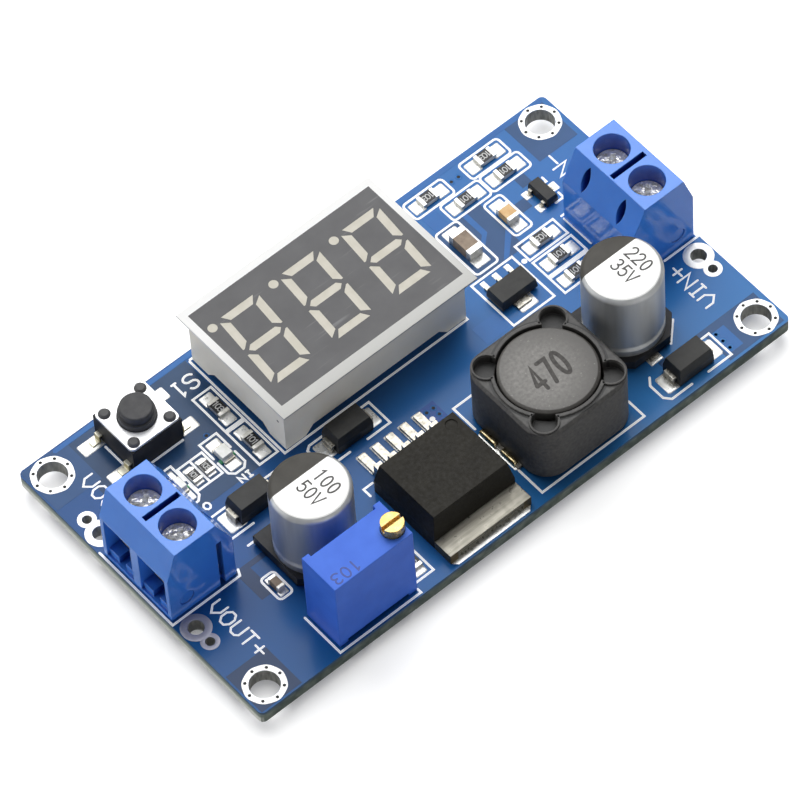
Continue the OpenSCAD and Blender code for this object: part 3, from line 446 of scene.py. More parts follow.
# Solder pads
# The pads of the flat-mounted parts, with the solder that the oven drew up to each part's ends. Every
# pad is a bright pillow, highest beside the metal that it holds.
solder_rise = 0.07
square_chips = [
    (-15.37, -13.12, 8.45, 13.3), (-15.37, -13.12, 3.35, 8.2), (-13.05, -10.85, -16.6, -12.2),
    (19.05, 23.9, 3.9, 6.1), (19.05, 23.95, 1.25, 3.5), (19.05, 23.9, -1.25, 1.0),
]
round_chips = [
    (14.1, 19.05, 14.83, 17.08), (21.25, 26.25, 14.8, 17.1), (16.7, 21.6, 12.3, 14.6),
    (21.75, 26.7, 12.3, 14.6),
]
pad_gap, pad_side, pad_length = 0.32, 0.4, 1.35
lead_middle, lead_pitch, lead_half, lead_front, lead_back = -4.25, 1.72, 0.52, -4.7, -2.15
pad_boxes = [
    # Push button
    (-27.08, -24.4, 15.0, 16.55), (-27.08, -24.4, 10.6, 12.1), (-18.7, -16.6, 15.0, 16.55),
    (-18.7, -16.6, 10.6, 12.1),
    # Diodes
    (-22.3, -20.25, -0.9, 1.45), (-16.9, -14.7, -0.9, 1.45), (-10.5, -8.5, -0.6, 1.5),
    (-5.4, -3.5, -0.7, 1.5), (18.6, 20.6, -16.7, -14.5), (23.4, 25.7, -16.6, -14.4),
    # Chip capacitors
    (14.65, 16.4, 10.6, 11.95), (14.65, 16.4, 6.5, 7.8), (20.25, 21.75, 10.1, 11.45),
    (20.25, 21.75, 7.15, 8.4), (-23.4, -22.35, -7.5, -6.85), (-23.4, -22.35, -9.35, -8.7),
    # Transistor and the meter's supply
    (23.5, 24.3, 9.4, 10.4), (23.5, 24.3, 7.4, 8.4), (26.1, 26.95, 8.4, 9.5), (13.6, 14.2, 3.7, 5.1),
    (15.1, 15.75, 3.7, 5.1), (16.6, 17.25, 3.7, 5.1), (14.5, 16.6, -0.3, 1.4),
    # Indicator lamps
    (-17.9, -16.4, 7.3, 8.5), (-17.9, -16.4, 4.5, 5.7), (-23.53, -22.03, 7.3, 8.5),
    (-23.53, -22.03, 4.5, 5.7),
    # Small chip resistors
    (-21.35, -20.35, 7.1, 7.7), (-21.35, -20.35, 5.4, 6.0), (-19.85, -18.85, 7.1, 7.7),
    (-19.85, -18.85, 5.4, 6.0),
    # Capacitors, regulator's tab and inductor
    (19.5, 21.05, -13.2, -12.2), (19.5, 21.05, -4.4, -3.5), (-18.1, -16.6, -12.2, -11.2),
    (-18.1, -16.6, -3.3, -2.4), (-9.15, 0.6, -17.75, -12), (2.1, 4.6, -13.5, -7.9),
    (13.4, 15.7, -13.5, -7.9),
]
for left, right, front, back in square_chips + round_chips:
    if right - left > back - front:
        front, back = front + pad_side, back - pad_side
        pad_boxes.append((left + pad_gap, left + pad_gap + pad_length, front, back))
        pad_boxes.append((right - pad_gap - pad_length, right - pad_gap, front, back))
    else:
        left, right = left + pad_side, right - pad_side
        pad_boxes.append((left, right, front + pad_gap, front + pad_gap + pad_length))
        pad_boxes.append((left, right, back - pad_gap - pad_length, back - pad_gap))
for i in range(-2, 3):
    middle = lead_middle + lead_pitch * i
    pad_boxes.append((middle - lead_half, middle + lead_half, lead_front, lead_back))


def pillow(patch, left, right, front, back, low, rise):
    """A pad of solder: a rectangle with its corners cut off, which swells towards its middle."""
    short = min(right - left, back - front)
    rings = []
    for inset, lift in ((0.0, 0.0), (0.03, 0.55), (0.12, 0.85), (0.26, 1.0)):
        gap = inset * short
        outline = box_outline(left + gap, right - gap, front + gap, back - gap, 0.08 * short)
        rings.append([vertex(patch, x, y, low + lift * rise) for x, y in outline])
    for lower, upper in zip(rings, rings[1:]):
        for i in range(len(lower)):
            patch.faces.new((lower[i - 1], lower[i], upper[i], upper[i - 1]))
    patch.faces.new(rings[0][::-1])
    patch.faces.new(rings[-1])


solder = new_finish("oven_solder", (244, 244, 240), 0.3, 0.45)
mottle(solder, 0.8, (228, 228, 224), (250, 250, 247))
mottle(solder, 0.5, 0.2, 0.4, "Roughness")
relief(solder, 0.7, 0.012)
patch = bmesh.new()
for left, right, front, back in pad_boxes:
    pillow(patch, left, right, front, back, board_top, solder_rise)
new_piece("solder_pads", patch, solder, 60)
dress(solder, "solder_joints")

# Printed lines and letters
# White ink that is screened on the mask: outlines of the parts, the names of the terminals and small
# labels. The ink stands a little proud of the mask, and the outlines are all of one width.
ink_low, ink_high = board_top, board_top + 0.03
ink_line, letter_line = 0.24, 0.21
ink_step = 0.0015


def ribbon(patch, path, line, low, high):
    """A line of ink along a path: mitred corners, round ends, or one closed band."""
    closed = path[0] == path[-1]
    points = [Vector(point) for point in (path[:-1] if closed else path)]
    left, right = [], []
    for i, point in enumerate(points):
        before = points[i - 1] if closed or i else None
        after = points[(i + 1) % len(points)] if closed or i + 1 < len(points) else None
        into = (point - before).normalized() if before else (after - point).normalized()
        out = (after - point).normalized() if after else into
        side = Vector((-into.y - out.y, into.x + out.x)).normalized()
        reach = 0.5 * line / max(side.dot(Vector((-into.y, into.x))), 0.45)
        left.append(point + reach * side)
        right.append(point - reach * side)
    if closed:
        for a, b in zip(range(-1, len(points) - 1), range(len(points))):
            flat_plate(patch, (left[a], left[b], right[b], right[a]), low, high, (1, 3))
        return
    outline = left + round_end(points[-1], left[-1]) + right[::-1] + round_end(points[0], right[0])
    flat_plate(patch, outline, low, high)


def round_end(middle, start):
    """The points of a half circle from one corner of a line's end to the other."""
    spoke = start - middle
    turns = [-math.pi * i / 5 for i in range(1, 5)]
    return [middle + Matrix.Rotation(turn, 2) @ spoke for turn in turns]


def arc(x, y, across, up, start, end, steps=10):
    """Points along a part of an ellipse, by angles in degrees."""
    turns = [math.radians(start + (end - start) * i / steps) for i in range(steps + 1)]
    return [(x + across * math.cos(a), y + up * math.sin(a)) for a in turns]


def loop_of(points):
    """Points that run round to the first one, closed on it exactly."""
    return points[:-1] + points[:1]


# Each letter is drawn in a cell that is one high, as the strokes of a pen: i is a one with a foot, and
# v is a V with straight arms
letters = {
    "V": [[(-0.34, 1), (-0.34, 0.42), (0, 0), (0.34, 0.42), (0.34, 1)]],
    "O": [loop_of(arc(0, 0.5, 0.36, 0.54, 22.5, 382.5, 8))],
    "U": [[(-0.32, 1), (-0.32, 0.2), (-0.14, 0), (0.14, 0), (0.32, 0.2), (0.32, 1)]],
    "T": [[(-0.32, 1), (0.32, 1)], [(0, 1), (0, 0)]],
    "I": [[(0, 1), (0, 0)], [(-0.17, 1), (0.17, 1)], [(-0.17, 0), (0.17, 0)]],
    "N": [[(-0.31, 0), (-0.31, 1), (0.31, 0), (0.31, 1)]],
    "S": [arc(0, 0.74, 0.28, 0.26, 25, 270) + arc(0, 0.25, 0.31, 0.25, 90, -155)[1:]],
    "+": [[(-0.34, 0.5), (0.34, 0.5)], [(0, 0.16), (0, 0.84)]],
    "-": [[(-0.34, 0.5), (0.34, 0.5)]],
    "0": [loop_of(arc(0, 0.5, 0.27, 0.5, 0, 360, 20))],
    "1": [[(-0.16, 0.84), (0.03, 1), (0.03, 0)]],
    "i": [[(-0.14, 0.86), (0, 1), (0, 0)], [(-0.12, 0), (0.12, 0)]],
    "v": [[(-0.34, 1), (0, 0), (0.34, 1)]],
    "2": [arc(0, 0.72, 0.28, 0.28, 165, -35) + [(-0.3, 0), (0.3, 0)]],
    "3": [arc(-0.02, 0.76, 0.25, 0.24, 150, -90), arc(-0.02, 0.26, 0.3, 0.26, 90, -150)],
    "4": [[(0.14, 0), (0.14, 1), (-0.3, 0.28)], [(-0.3, 0.28), (0.32, 0.28)]],
    "5": [[(0.26, 1), (-0.2, 1), (-0.24, 0.56)] + arc(-0.02, 0.32, 0.3, 0.32, 125, -145)],
    "7": [[(-0.28, 1), (0.29, 1), (-0.08, 0)]],
}


def write(patch, text, x, y, height, pitch, turn, line, low, high, lean=0.0, width=1.0):
    """Letters of one height, around the middle of their line and turned by an angle in degrees."""
    turning = Matrix.Rotation(math.radians(turn), 2)
    strokes = 0
    for i, letter in enumerate(text):
        for stroke in letters[letter]:
            path = []
            for across, up in stroke:
                level = (up - 0.5) * (height - line)
                along = (i - (len(text) - 1) / 2) * pitch + across * height * width + lean * level
                spot_on = turning @ Vector((along, level))
                path.append((x + spot_on.x, y + spot_on.y))
            ribbon(patch, path, line, low, high + ink_step * strokes)
            strokes = (strokes + 1) % 4


def frame_path(left, right, front, back):
    """A closed path along a rectangle."""
    return box_outline(left, right, front, back) + [(left, front)]


ink_paths = [frame_path(*box) for box in square_chips] + [
    # Small chip resistors
    frame_path(-21.55, -18.55, 5.0, 8.12), [(-20.05, 5.1), (-20.05, 8.0)],
    # Push button and display
    [(-24.9, 12.2), (-24.9, 14.75)], [(-22.75, 10.4), (-18.95, 10.4)],
    [(-22.75, 16.8), (-18.95, 16.8)],
    [(-12.75, 16.9), (-12.75, 2.75), (10.1, 2.75), (10.1, 17.05), (-12.6, 17.05)],
    # Diodes
    [(-22.5, 1.85), (-20.2, 1.85)], [(-16.2, 1.85), (-14.5, 1.85)], [(-22.6, -1.3), (-20.0, -1.3)],
    [(-17, -1.3), (-14.5, -1.3), (-14.5, 1.7)],
    [(-11.0, 0.4), (-11.0, 1.5), (-10.5, 1.85), (-3.1, 1.85), (-3.1, -1.3), (-5.9, -1.3)],
    [(-9.9, -1.3), (-8.1, -1.3)],
    [(18.5, -14.0), (17.9, -14.75), (17.9, -16.6), (18.45, -17.25), (21, -17.25)],
    [(25, -14), (26.05, -14), (26.05, -17.25), (23.1, -17.25)],
    # The meter's supply and the transistor
    frame_path(12.9, 18.05, -0.8, 5.4),
    [(26.15, 9.9), (26.4, 9.9), (26.4, 10.5)], [(25.4, 7.35), (26.4, 7.35), (26.4, 8.1)],
    # Terminal blocks
    [(-32.87, 5.85), (-32.87, -4.95), (-24.7, -4.95), (-24.4, -4.3)],
    [(32.87, -3.6), (32.87, -4.85), (28.6, -4.85)], [(24.75, 1.5), (24.75, 5.4)],
    [(24.75, 5.8), (32.85, 5.8)],
    # Trimmer and inductor
    [(-23.2, -12.6), (-23.2, -17.72), (-13.35, -17.72), (-13.35, -17.25)],
    [(2.35, -7.3), (2.35, -4.15), (15.2, -4.15), (15.2, -7)],
    [(2.35, -13.6), (2.35, -16.95), (15.2, -16.95), (15.2, -14.7)],
    # Capacitors and regulator
    [(22.6, -12.45), (24.6, -10.5)], [(24.6, -4), (24.6, -3.95), (16, -3.95)],
    [(-22, -2.9), (-19, -2.9)], [(-13.0, -2.9), (-13.0, -8.9), (-14.9, -10.9)],
    [(-9.9, -6.4), (-9.9, -5.4), (-8.8, -5.4)], [(1.35, -6.4), (1.35, -5.4), (0.3, -5.4)],
]
bow = 0.4
round_frames = [(14.1, 16.9, 5.95, 12.25), (19.9, 22.1, 6.9, 11.8), (-23.67, -22.05, -9.6, -6.6)]
for left, right, front, back in round_chips + round_frames:
    rounded = []
    for x, y, start in ((right - bow, front + bow, -90), (right - bow, back - bow, 0),
                        (left + bow, back - bow, 90), (left + bow, front + bow, 180)):
        rounded += arc(x, y, bow, bow, start, start + 90, 4)
    ink_paths.append(rounded + rounded[:1])
lamp_frames = [(-18.2, -16.12), (-23.83, -21.75)]
for left, right in lamp_frames:
    ink_paths.append([(left, 6.75), (left, 8.87), (right, 8.87), (right, 6.75)])
    ink_paths.append([(left, 6.1), (left, 4.6), (left + 0.5, 4.1),
                      (right - 0.5, 4.1), (right, 4.6), (right, 6.1)])
# Each label's text, middle, height, pitch, turn and line
labels = [
    ("VOUT+", -28.55, -9.35, 1.75, 1.53, -90, letter_line),
    ("VOUT-", -28.55, 9.6, 1.75, 1.53, -90, letter_line),
    ("VIN+", 28.62, -8.85, 1.8, 1.45, 90, letter_line),
    ("VIN-", 28.62, 9.2, 1.8, 1.45, 90, letter_line),
    ("Si", -14.86, 15.05, 1.95, 1.5, 180, ink_line),
    ("IN", -17.15, 3.25, 0.92, 0.84, 180, letter_line),
    ("OUT", -22.95, 3.1, 0.95, 0.92, 180, letter_line),
]
ink_dots = [(18.6, 4.2, 0.3, 18), (0.12, -3.7, 0.28, 16)]
# Painted light: the ink glows faintly, so that it stays white in shade.
ink = new_finish("white_ink", (252, 253, 253), 0.5, glow=0.18)
mottle(ink, 0.5, (246, 248, 250), (255, 255, 255))
patch = bmesh.new()
for i, path in enumerate(ink_paths):
    ribbon(patch, path, ink_line, ink_low, ink_high + ink_step * (i % 3))
for label in labels:
    write(patch, *label, ink_low, ink_high)
for x, y, radius, steps in ink_dots:
    lathe(patch, x, y, disc(radius, ink_low, ink_high), steps)
new_piece("white_print", patch, ink)

# Terminal blocks
# Two blue housings moulded in one piece, with a clamp chamber for each wire and a shaft above it for
# the screwdriver. They stand on the board and are held by their soldered pins.
terminal_blue = new_finish("terminal_blue", (70, 141, 244), 0.14, shine=0.58)
terminal_tone = between(terminal_blue, grain(terminal_blue, 3.0), (68, 138, 242), (73, 145, 248))
# Painted shade: the blue is drawn darker and deeper where little open sky reaches, in the chambers, shafts
# and slots.
reach_in = {"Distance": 4 * MM}
open_sky = add_node(terminal_blue, "ShaderNodeAmbientOcclusion", reach_in, samples=8, only_local=True)
terminal_tone = between(terminal_blue, open_sky.outputs["AO"], (28, 60, 146), terminal_tone, 0.2, 0.62)
join(terminal_blue, terminal_tone)
mottle(terminal_blue, 0.6, 0.1, 0.18, "Roughness")
relief(terminal_blue, edge=0.12)
dress(terminal_blue, "output_terminal_block", "input_terminal_block")

# Clamp screws, cages and contacts
# Zinc plated steel screws whose heads are stamped with a cross, the steel cages that they lift, and the
# tinned brass bars that take the wire. The plating is bright and uneven, and a painted glow lifts the
# screws.
poles = ("output_plus", "output_minus", "input_plus", "input_minus")
# Painted light: the screws glow faintly.
zinc = new_finish("bright_zinc_painted_glow", (248, 248, 242), 0.3, 0.6, glow=0.07)
uneven = between(zinc, grain(zinc, 0.45), (150, 149, 143), (255, 255, 252), 0.36, 0.6)
join(zinc, uneven)
mottle(zinc, 0.5, 0.16, 0.32, "Roughness")
relief(zinc, 0.5, 0.13, 0.14)
dress(zinc, *[pole + "_screw" for pole in poles])
cage_steel = new_finish("cage_steel", (186, 188, 190), 0.34, 0.95)
mottle(cage_steel, 0.6, (160, 163, 166), (206, 207, 208))
relief(cage_steel, 0.4, 0.02, 0.08)
dress(cage_steel, *[pole + "_clamp" for pole in poles])
tinned = new_finish("tinned_metal", (160, 156, 146), 0.3, 0.95)
mottle(tinned, 0.5, (138, 134, 124), (184, 181, 172))
mottle(tinned, 0.3, 0.2, 0.42, "Roughness")
relief(tinned, 0.35, 0.015, 0.06)
dress(tinned, "output_contacts", "input_contacts", "display_pins", "trimmer_pins",
      "output_capacitor_leads", "input_capacitor_leads", "regulator_pins", "diode_leads", "supply_leads",
      "transistor_leads", "controller_leads", "inductor_terminals", "led_ends")

# Meter display
# A white moulded shell with three digits of seven cells each, filled with cream resin. A printed film
# covers the face: dark grey with a pale rim, open over the cells, with faint marks of handling.
film_left, film_right, film_front, film_back = -12.23, 10.25, 3.19, 17.05
gate_y, gate_z, gate_r = 3.9, board_top + 3.8, 0.16


def away_from(finish, across, along, x, y):
    """The distance in metres from a point, by two coordinates and the point's own in millimetres."""
    off_x = calc(finish, "SUBTRACT", across, x * MM)
    off_y = calc(finish, "SUBTRACT", along, y * MM)
    squares = calc(finish, "ADD", both(finish, off_x, off_x), both(finish, off_y, off_y))
    return calc(finish, "SQRT", squares)


# Painted light: the shell glows faintly and warmly, which lifts its shaded sides.
shell = new_finish("shell_white", (246, 242, 230), 0.42, glow=0.08, glow_colour=(255, 248, 232))
moulding = between(shell, grain(shell, 4.0), (240, 236, 222), (250, 246, 234))
spot, facing = position(shell)
gate = below(shell, away_from(shell, spot[1], spot[2], gate_y, gate_z), gate_r * MM)
gate = both(shell, gate, below(shell, facing[0], -0.5))
join(shell, between(shell, gate, moulding, (70, 66, 60), 0.0, 1.0))
relief(shell, 0.25, 0.004, 0.1)
dress(shell, "display_shell")
film = new_finish("meter_film", (96, 96, 99), 0.4, shine=0.3)
spot, facing = position(film)
within_l = both(film, above(film, spot[0], film_left * MM), below(film, spot[0], film_right * MM))
within_w = both(film, above(film, spot[1], film_front * MM), below(film, spot[1], film_back * MM))
printed = both(film, within_l, within_w, above(film, facing[2], 0.5))
scuffs = grain(film, 1.6, 2.0, (0.25, 3.0, 1))
grey = between(film, grain(film, 2.5), (87, 87, 89), (96, 96, 98))
grey = between(film, scuffs, grey, (124, 124, 126), 0.66, 0.8)
# Painted light: the pale rim is drawn greyer at the front and whiter towards the back, where the lamp's
# sheen lies.
rim_lit_towards_back = between(film, spot[1], (198, 198, 194), (252, 252, 251), 1 * MM, 14 * MM)
join(film, between(film, printed, rim_lit_towards_back, grey, 0.0, 1.0))
join(film, between(film, scuffs, 0.44, 0.34, 0.6, 0.75), "Roughness")
relief(film, 0.5, 0.003, 0.06)
dress(film, "display_film")
cell_resin = new_finish("cell_resin", (216, 211, 196), 0.34, shine=0.3)
mottle(cell_resin, 1.2, (206, 201, 186), (217, 212, 199))
relief(cell_resin, 0.3, 0.006)
dress(cell_resin, "display_segments")
potting = new_finish("potting_resin", (214, 206, 186), 0.3)
mottle(potting, 2.0, (204, 195, 174), (222, 214, 196))
relief(potting, 2.2, 0.05, detail=3.0)
dress(potting, "display_base")

# Push button
# A black moulded switch under a nickel plated cover plate, which four posts of the moulding rivet down.
# The round dark grey button passes through the plate and rests on a steel snap dome.
rivet_foot = 3.42
switch_black = new_finish("switch_black", (36, 36, 38), 0.5, shine=0.25)
rivet_top = above(switch_black, position(switch_black)[0][2], (board_top + rivet_foot) * MM)
coal = between(switch_black, grain(switch_black, 1.0), (30, 31, 34), (40, 40, 42))
join(switch_black, between(switch_black, rivet_top, coal, (86, 86, 87), 0.0, 1.0))
relief(switch_black, 0.2, 0.005, 0.1)
dress(switch_black, "switch_body")
cover_plate = new_finish("nickel_plate", (247, 248, 248), 0.34, 0.45)
mottle(cover_plate, 0.5, (241, 242, 243), (250, 251, 251), detail=2.0, stretch=(0.2, 3, 1))
relief(cover_plate, 0.5, 0.002, 0.1, stretch=(0.2, 3, 1))
dress(cover_plate, "switch_cover")
button_grey = new_finish("button_grey", (76, 76, 78), 0.55, shine=0.25)
mottle(button_grey, 0.8, (70, 70, 72), (82, 82, 83))
relief(button_grey, 0.14, 0.006, 0.16)
dress(button_grey, "switch_button")
leg_tin = new_finish("leg_tin", (214, 206, 170), 0.28, 0.7)
facing = position(leg_tin)[1]
# Painted light: faces that look up are drawn pale, and the other faces a darker gold.
golden = between(leg_tin, grain(leg_tin, 0.6), (150, 138, 84), (206, 196, 150))
join(leg_tin, between(leg_tin, facing[2], golden, (222, 219, 200), 0.9, 0.98))
relief(leg_tin, 0.5, 0.01, 0.1)
dress(leg_tin, "switch_legs")
spring_steel = new_finish("spring_steel", (190, 190, 186), 0.25, 1.0)
mottle(spring_steel, 0.8, 0.18, 0.36, "Roughness")
dress(spring_steel, "switch_dome")

# Inductor
# A wound drum core of sintered ferrite in a square ferrite shield, glued together and soldered down by
# two tinned feet. The pressed edges are worn lighter, and the value is stamped on the drum in ink.
print_rise = 0.012
shield_x, shield_y = 8.829, -10.75
drum_top, shield_top = top_of("inductor_core"), top_of("inductor_shield")
groove_r, groove_half, groove_top, hollow_top = 5.64, 0.14, board_top + 7.44, board_top + 6.9
glint_x, glint_y, glint_r, glint_fade_r = 7.9, -10.6, 2.4, 5.2
scallop_reach, scallop_r, scallop_turn = 5.869, 1.39, 118
lip_rise, lip_line = 0.2, 0.18
wire_left, wire_right, wire_low, wire_rise = 2.2, 2.82, board_top + 0.2, 0.45


def worn(finish, radius, width):
    """Grows from 0 to 1 along the edges of a solid, where handling rubs it."""
    round_normal = add_node(finish, "ShaderNodeBevel", {"Radius": radius * MM}, samples=6).outputs[0]
    true_normal = add_node(finish, "ShaderNodeNewGeometry").outputs["Normal"]
    normals = {0: round_normal, 1: true_normal}
    alike = add_node(finish, "ShaderNodeVectorMath", normals, operation="DOT_PRODUCT")
    return between(finish, alike.outputs["Value"], 1.0, 0.0, 1.0 - width, 0.995)


shield = new_finish("shield_ferrite", (70, 69, 68), 0.55)
stone = between(shield, grain(shield, 0.35), (58, 57, 57), (80, 79, 77))
spot, facing = position(shield)
reach = away_from(shield, spot[0], spot[1], shield_x, shield_y)
off_groove = calc(shield, "ABSOLUTE", calc(shield, "SUBTRACT", reach, groove_r * MM))
groove = both(shield, below(shield, off_groove, groove_half * MM), below(shield, spot[2], groove_top * MM))
hollow = both(shield, below(shield, spot[2], hollow_top * MM), above(shield, facing[2], 0.5))
shaded = calc(shield, "MAXIMUM", groove, hollow)
stone = between(shield, shaded, stone, (36, 36, 36), 0.0, 1.0)
rub = both(shield, worn(shield, 0.2, 0.25), grain(shield, 0.8, 4.0))
join(shield, between(shield, rub, stone, (140, 138, 134), 0.25, 0.9))
relief(shield, 0.25, 0.02, 0.2, detail=3.0)
dress(shield, "inductor_shield")
drum = new_finish("drum_ferrite", (112, 110, 106), 0.5)
stone = between(drum, grain(drum, 0.35, 4.0), (108, 106, 103), (134, 132, 128))
spot = position(drum)[0]
# Painted highlight: the drum's top is drawn lighter around one point and duller away from it.
reach = away_from(drum, spot[0], spot[1], glint_x, glint_y)
stone = between(drum, reach, stone, (82, 80, 77), glint_r * MM, glint_fade_r * MM)
dust = between(drum, grain(drum, 0.25, 2.0), 0.0, 1.0, 0.68, 0.76)
join(drum, between(drum, dust, stone, (160, 158, 152), 0.0, 1.5))
relief(drum, 0.25, 0.014, 0.16, detail=3.0)
dress(drum, "inductor_core")
copper = new_finish("enamelled_copper", (184, 112, 58), 0.3, 0.9)
mottle(copper, 0.5, (150, 84, 40), (206, 134, 76), stretch=(1, 1, 6))
relief(copper, 0.5, 0.05, stretch=(0.2, 0.2, 5))
dress(copper, "inductor_winding")
stamp_ink = new_finish("stamp_ink", (62, 59, 57), 0.7)
mottle(stamp_ink, 0.3, (52, 50, 48), (82, 79, 76))
patch = bmesh.new()
for turn in (45, 135, 225, 315):
    x = shield_x + scallop_reach * math.cos(math.radians(turn))
    y = shield_y + scallop_reach * math.sin(math.radians(turn))
    rim = arc(x, y, scallop_r, scallop_r, turn - scallop_turn, turn + scallop_turn, 24)
    ribbon(patch, rim, lip_line, shield_top - lip_rise, shield_top)
new_piece("shield_lips", patch, shield)
patch = bmesh.new()
write(patch, "470", 8.7, -10.95, height=3.2, pitch=1.45, turn=0, line=0.42, low=drum_top,
      high=drum_top + print_rise, lean=0.06, width=0.5)
new_piece("inductor_value", patch, stamp_ink)
patch = bmesh.new()
for front, back in ((-13.1, -10.95), (-10.25, -7.95)):
    pillow(patch, wire_left, wire_right, front, back, wire_low, wire_rise)
wire_tin = new_finish("tinned_wire", (190, 168, 112), 0.25, 0.9)
mottle(wire_tin, 0.5, (120, 100, 58), (236, 222, 180))
relief(wire_tin, 0.4, 0.03)
new_piece("inductor_wire_ends", patch, wire_tin, 60)

# Capacitors
# Two electrolytics: drawn aluminium cans rolled in above a black moulded base. The top is printed with
# the rating, and with a dark field over the negative lead.
base_black = new_finish("base_black", (40, 40, 42), 0.5, shine=0.25)
mottle(base_black, 1.0, (32, 33, 36), (48, 48, 50))
relief(base_black, 0.2, 0.006, 0.1)
dress(base_black, "output_capacitor_base", "input_capacitor_base")
rating_ink = new_finish("rating_ink", (58, 56, 56), 0.5)
mottle(rating_ink, 0.4, (46, 44, 44), (64, 62, 61))
can_top = top_of("output_capacitor_can")
rim_drop = 0.5
ratings = bmesh.new()
for name, field_edge, lines in (
        ("output_capacitor_can", -5.85, (("100", -15.85, -7.95), ("50v", -17.8, -7.9))),
        ("input_capacitor_can", -6.6, (("220", 22.2, -8.6), ("35v", 20.25, -8.7)))):
    can = new_finish(name + "_aluminium", (180, 182, 183), 0.5, 0.8, shine=0.2)
    spot, facing = position(can)
    flat_top = above(can, facing[2], 0.9)
    near_top = above(can, spot[2], (can_top - rim_drop) * MM)
    printed = both(can, near_top, above(can, spot[1], field_edge * MM))
    streaks = grain(can, 1.2, 2.0, (1, 1, 0.1))
    drawn = between(can, streaks, (184, 186, 187), (204, 206, 207))
    # Painted highlight: the flat aluminium top is drawn near white and less metallic, as the lamp above
    # lights it.
    plain = between(can, flat_top, drawn, (246, 246, 244), 0.0, 1.0)
    dark = between(can, grain(can, 1.5), (72, 70, 66), (81, 79, 74))
    join(can, between(can, printed, plain, dark, 0.0, 1.0))
    ink_and_lit_top = calc(can, "MAXIMUM", printed, calc(can, "MULTIPLY", flat_top, 0.7))
    join(can, between(can, ink_and_lit_top, 0.8, 0.0, 0.0, 1.0), "Metallic")
    mottle(can, 1.5, 0.44, 0.56, "Roughness", detail=2.0, stretch=(1, 1, 0.2))
    relief(can, edge=0.12)
    dress(can, name)
    for text, x, y in lines:
        write(ratings, text, x, y, height=1.55, pitch=0.99, turn=-90, line=0.18, low=can_top,
              high=can_top + print_rise, width=0.75)
new_piece("capacitor_ratings", ratings, rating_ink)

# Regulator
# A power package: a charcoal moulding on a copper tab, which is tinned and soldered flat to the board,
# with five bent leads. The moulding is matt, with a round dimple at one corner.
charcoal = new_finish("moulding_compound", (40, 37, 33), 0.5, shine=0.15)
mottle(charcoal, 1.6, (33, 31, 26), (42, 40, 34), detail=4.0)
mottle(charcoal, 0.4, 0.46, 0.66, "Roughness")
relief(charcoal, 0.12, 0.008, 0.1, detail=3.0)
dress(charcoal, "regulator_body")
tie_width = 0.9 * MM
tab = new_finish("tinned_tab", (160, 156, 142), 0.4, 0.7)
spot, facing = position(tab)
along_tab = grain(tab, 0.7, 3.0, (0.12, 2, 1))
brushed = between(tab, along_tab, (116, 113, 103), (148, 145, 135))
along_edge = grain(tab, 0.5, 3.0, (0.15, 1, 3))
sawn = between(tab, along_edge, (84, 78, 62), (150, 144, 126))
tab_low, tab_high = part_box("regulator_tab")
tie_cut = calc(tab, "MAXIMUM", below(tab, spot[0], tab_low[0] + tie_width),
               above(tab, spot[0], tab_high[0] - tie_width))
sawn = between(tab, tie_cut, sawn, (96, 80, 44), 0.0, 1.0)
join(tab, between(tab, facing[2], sawn, brushed, 0.3, 0.7))
mottle(tab, 0.6, 0.26, 0.46, "Roughness")
relief(tab, 0.4, 0.006, 0.1, detail=3.0, stretch=(0.15, 3, 1))
dress(tab, "regulator_tab")

# Small packages
# Three diodes, the meter's supply, a transistor and the meter's controller under the board. Each is a
# chip in black epoxy, moulded around tinned leads that are soldered flat to the board.
epoxy = new_finish("black_epoxy", (46, 46, 45), 0.45, shine=0.24)
mottle(epoxy, 1.2, (43, 43, 42), (54, 54, 52), detail=4.0)
relief(epoxy, 0.12, 0.006, 0.1, detail=3.0)
dress(epoxy, "diode_bodies", "supply_body", "transistor_body", "controller_body")

# Trimmer
# A blue sealed case with a slotted brass screw in its top, which turns many times from end to end. A
# rib on the end wall covers the screw below its head. The value is printed in dark blue on the top.
trimmer_blue = new_finish("trimmer_blue", (68, 120, 238), 0.36, shine=0.2)
mottle(trimmer_blue, 2.5, (63, 114, 232), (73, 126, 243))
relief(trimmer_blue, 0.4, 0.003, 0.14)
dress(trimmer_blue, "trimmer_case")
brass = new_finish("turned_brass", (206, 170, 100), 0.34, 0.75)
mottle(brass, 0.6, (186, 148, 80), (224, 194, 128))
mottle(brass, 0.3, 0.18, 0.38, "Roughness")
relief(brass, 0.5, 0.01, 0.1)
dress(brass, "trimmer_screw")
case_ink = new_finish("case_ink", (46, 72, 160), 0.5)
mottle(case_ink, 0.4, (40, 64, 150), (54, 82, 172))
case_top = top_of("trimmer_case")
patch = bmesh.new()
write(patch, "103", -20.75, -16.35, height=1.35, pitch=1.08, turn=180, line=0.17, low=case_top,
      high=case_top + print_rise)
new_piece("trimmer_value", patch, case_ink)
screw_low, screw_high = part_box("trimmer_screw")
screw_x = (screw_low[0] + screw_high[0]) / 2 / MM
screw_y = (screw_low[1] + screw_high[1]) / 2 / MM
rib_r, rib_bore, rib_reach = 1.34, 1.2, 44
rib_low, rib_high = screw_low[2] / MM - 0.3, case_top - 1.2
patch = bmesh.new()
rib = arc(screw_x, screw_y, rib_r, rib_r, -rib_reach, rib_reach)
rib += arc(screw_x, screw_y, rib_bore, rib_bore, rib_reach, -rib_reach)
flat_plate(patch, rib, rib_low, rib_high)
new_piece("trimmer_rib", patch, trimmer_blue, 30)

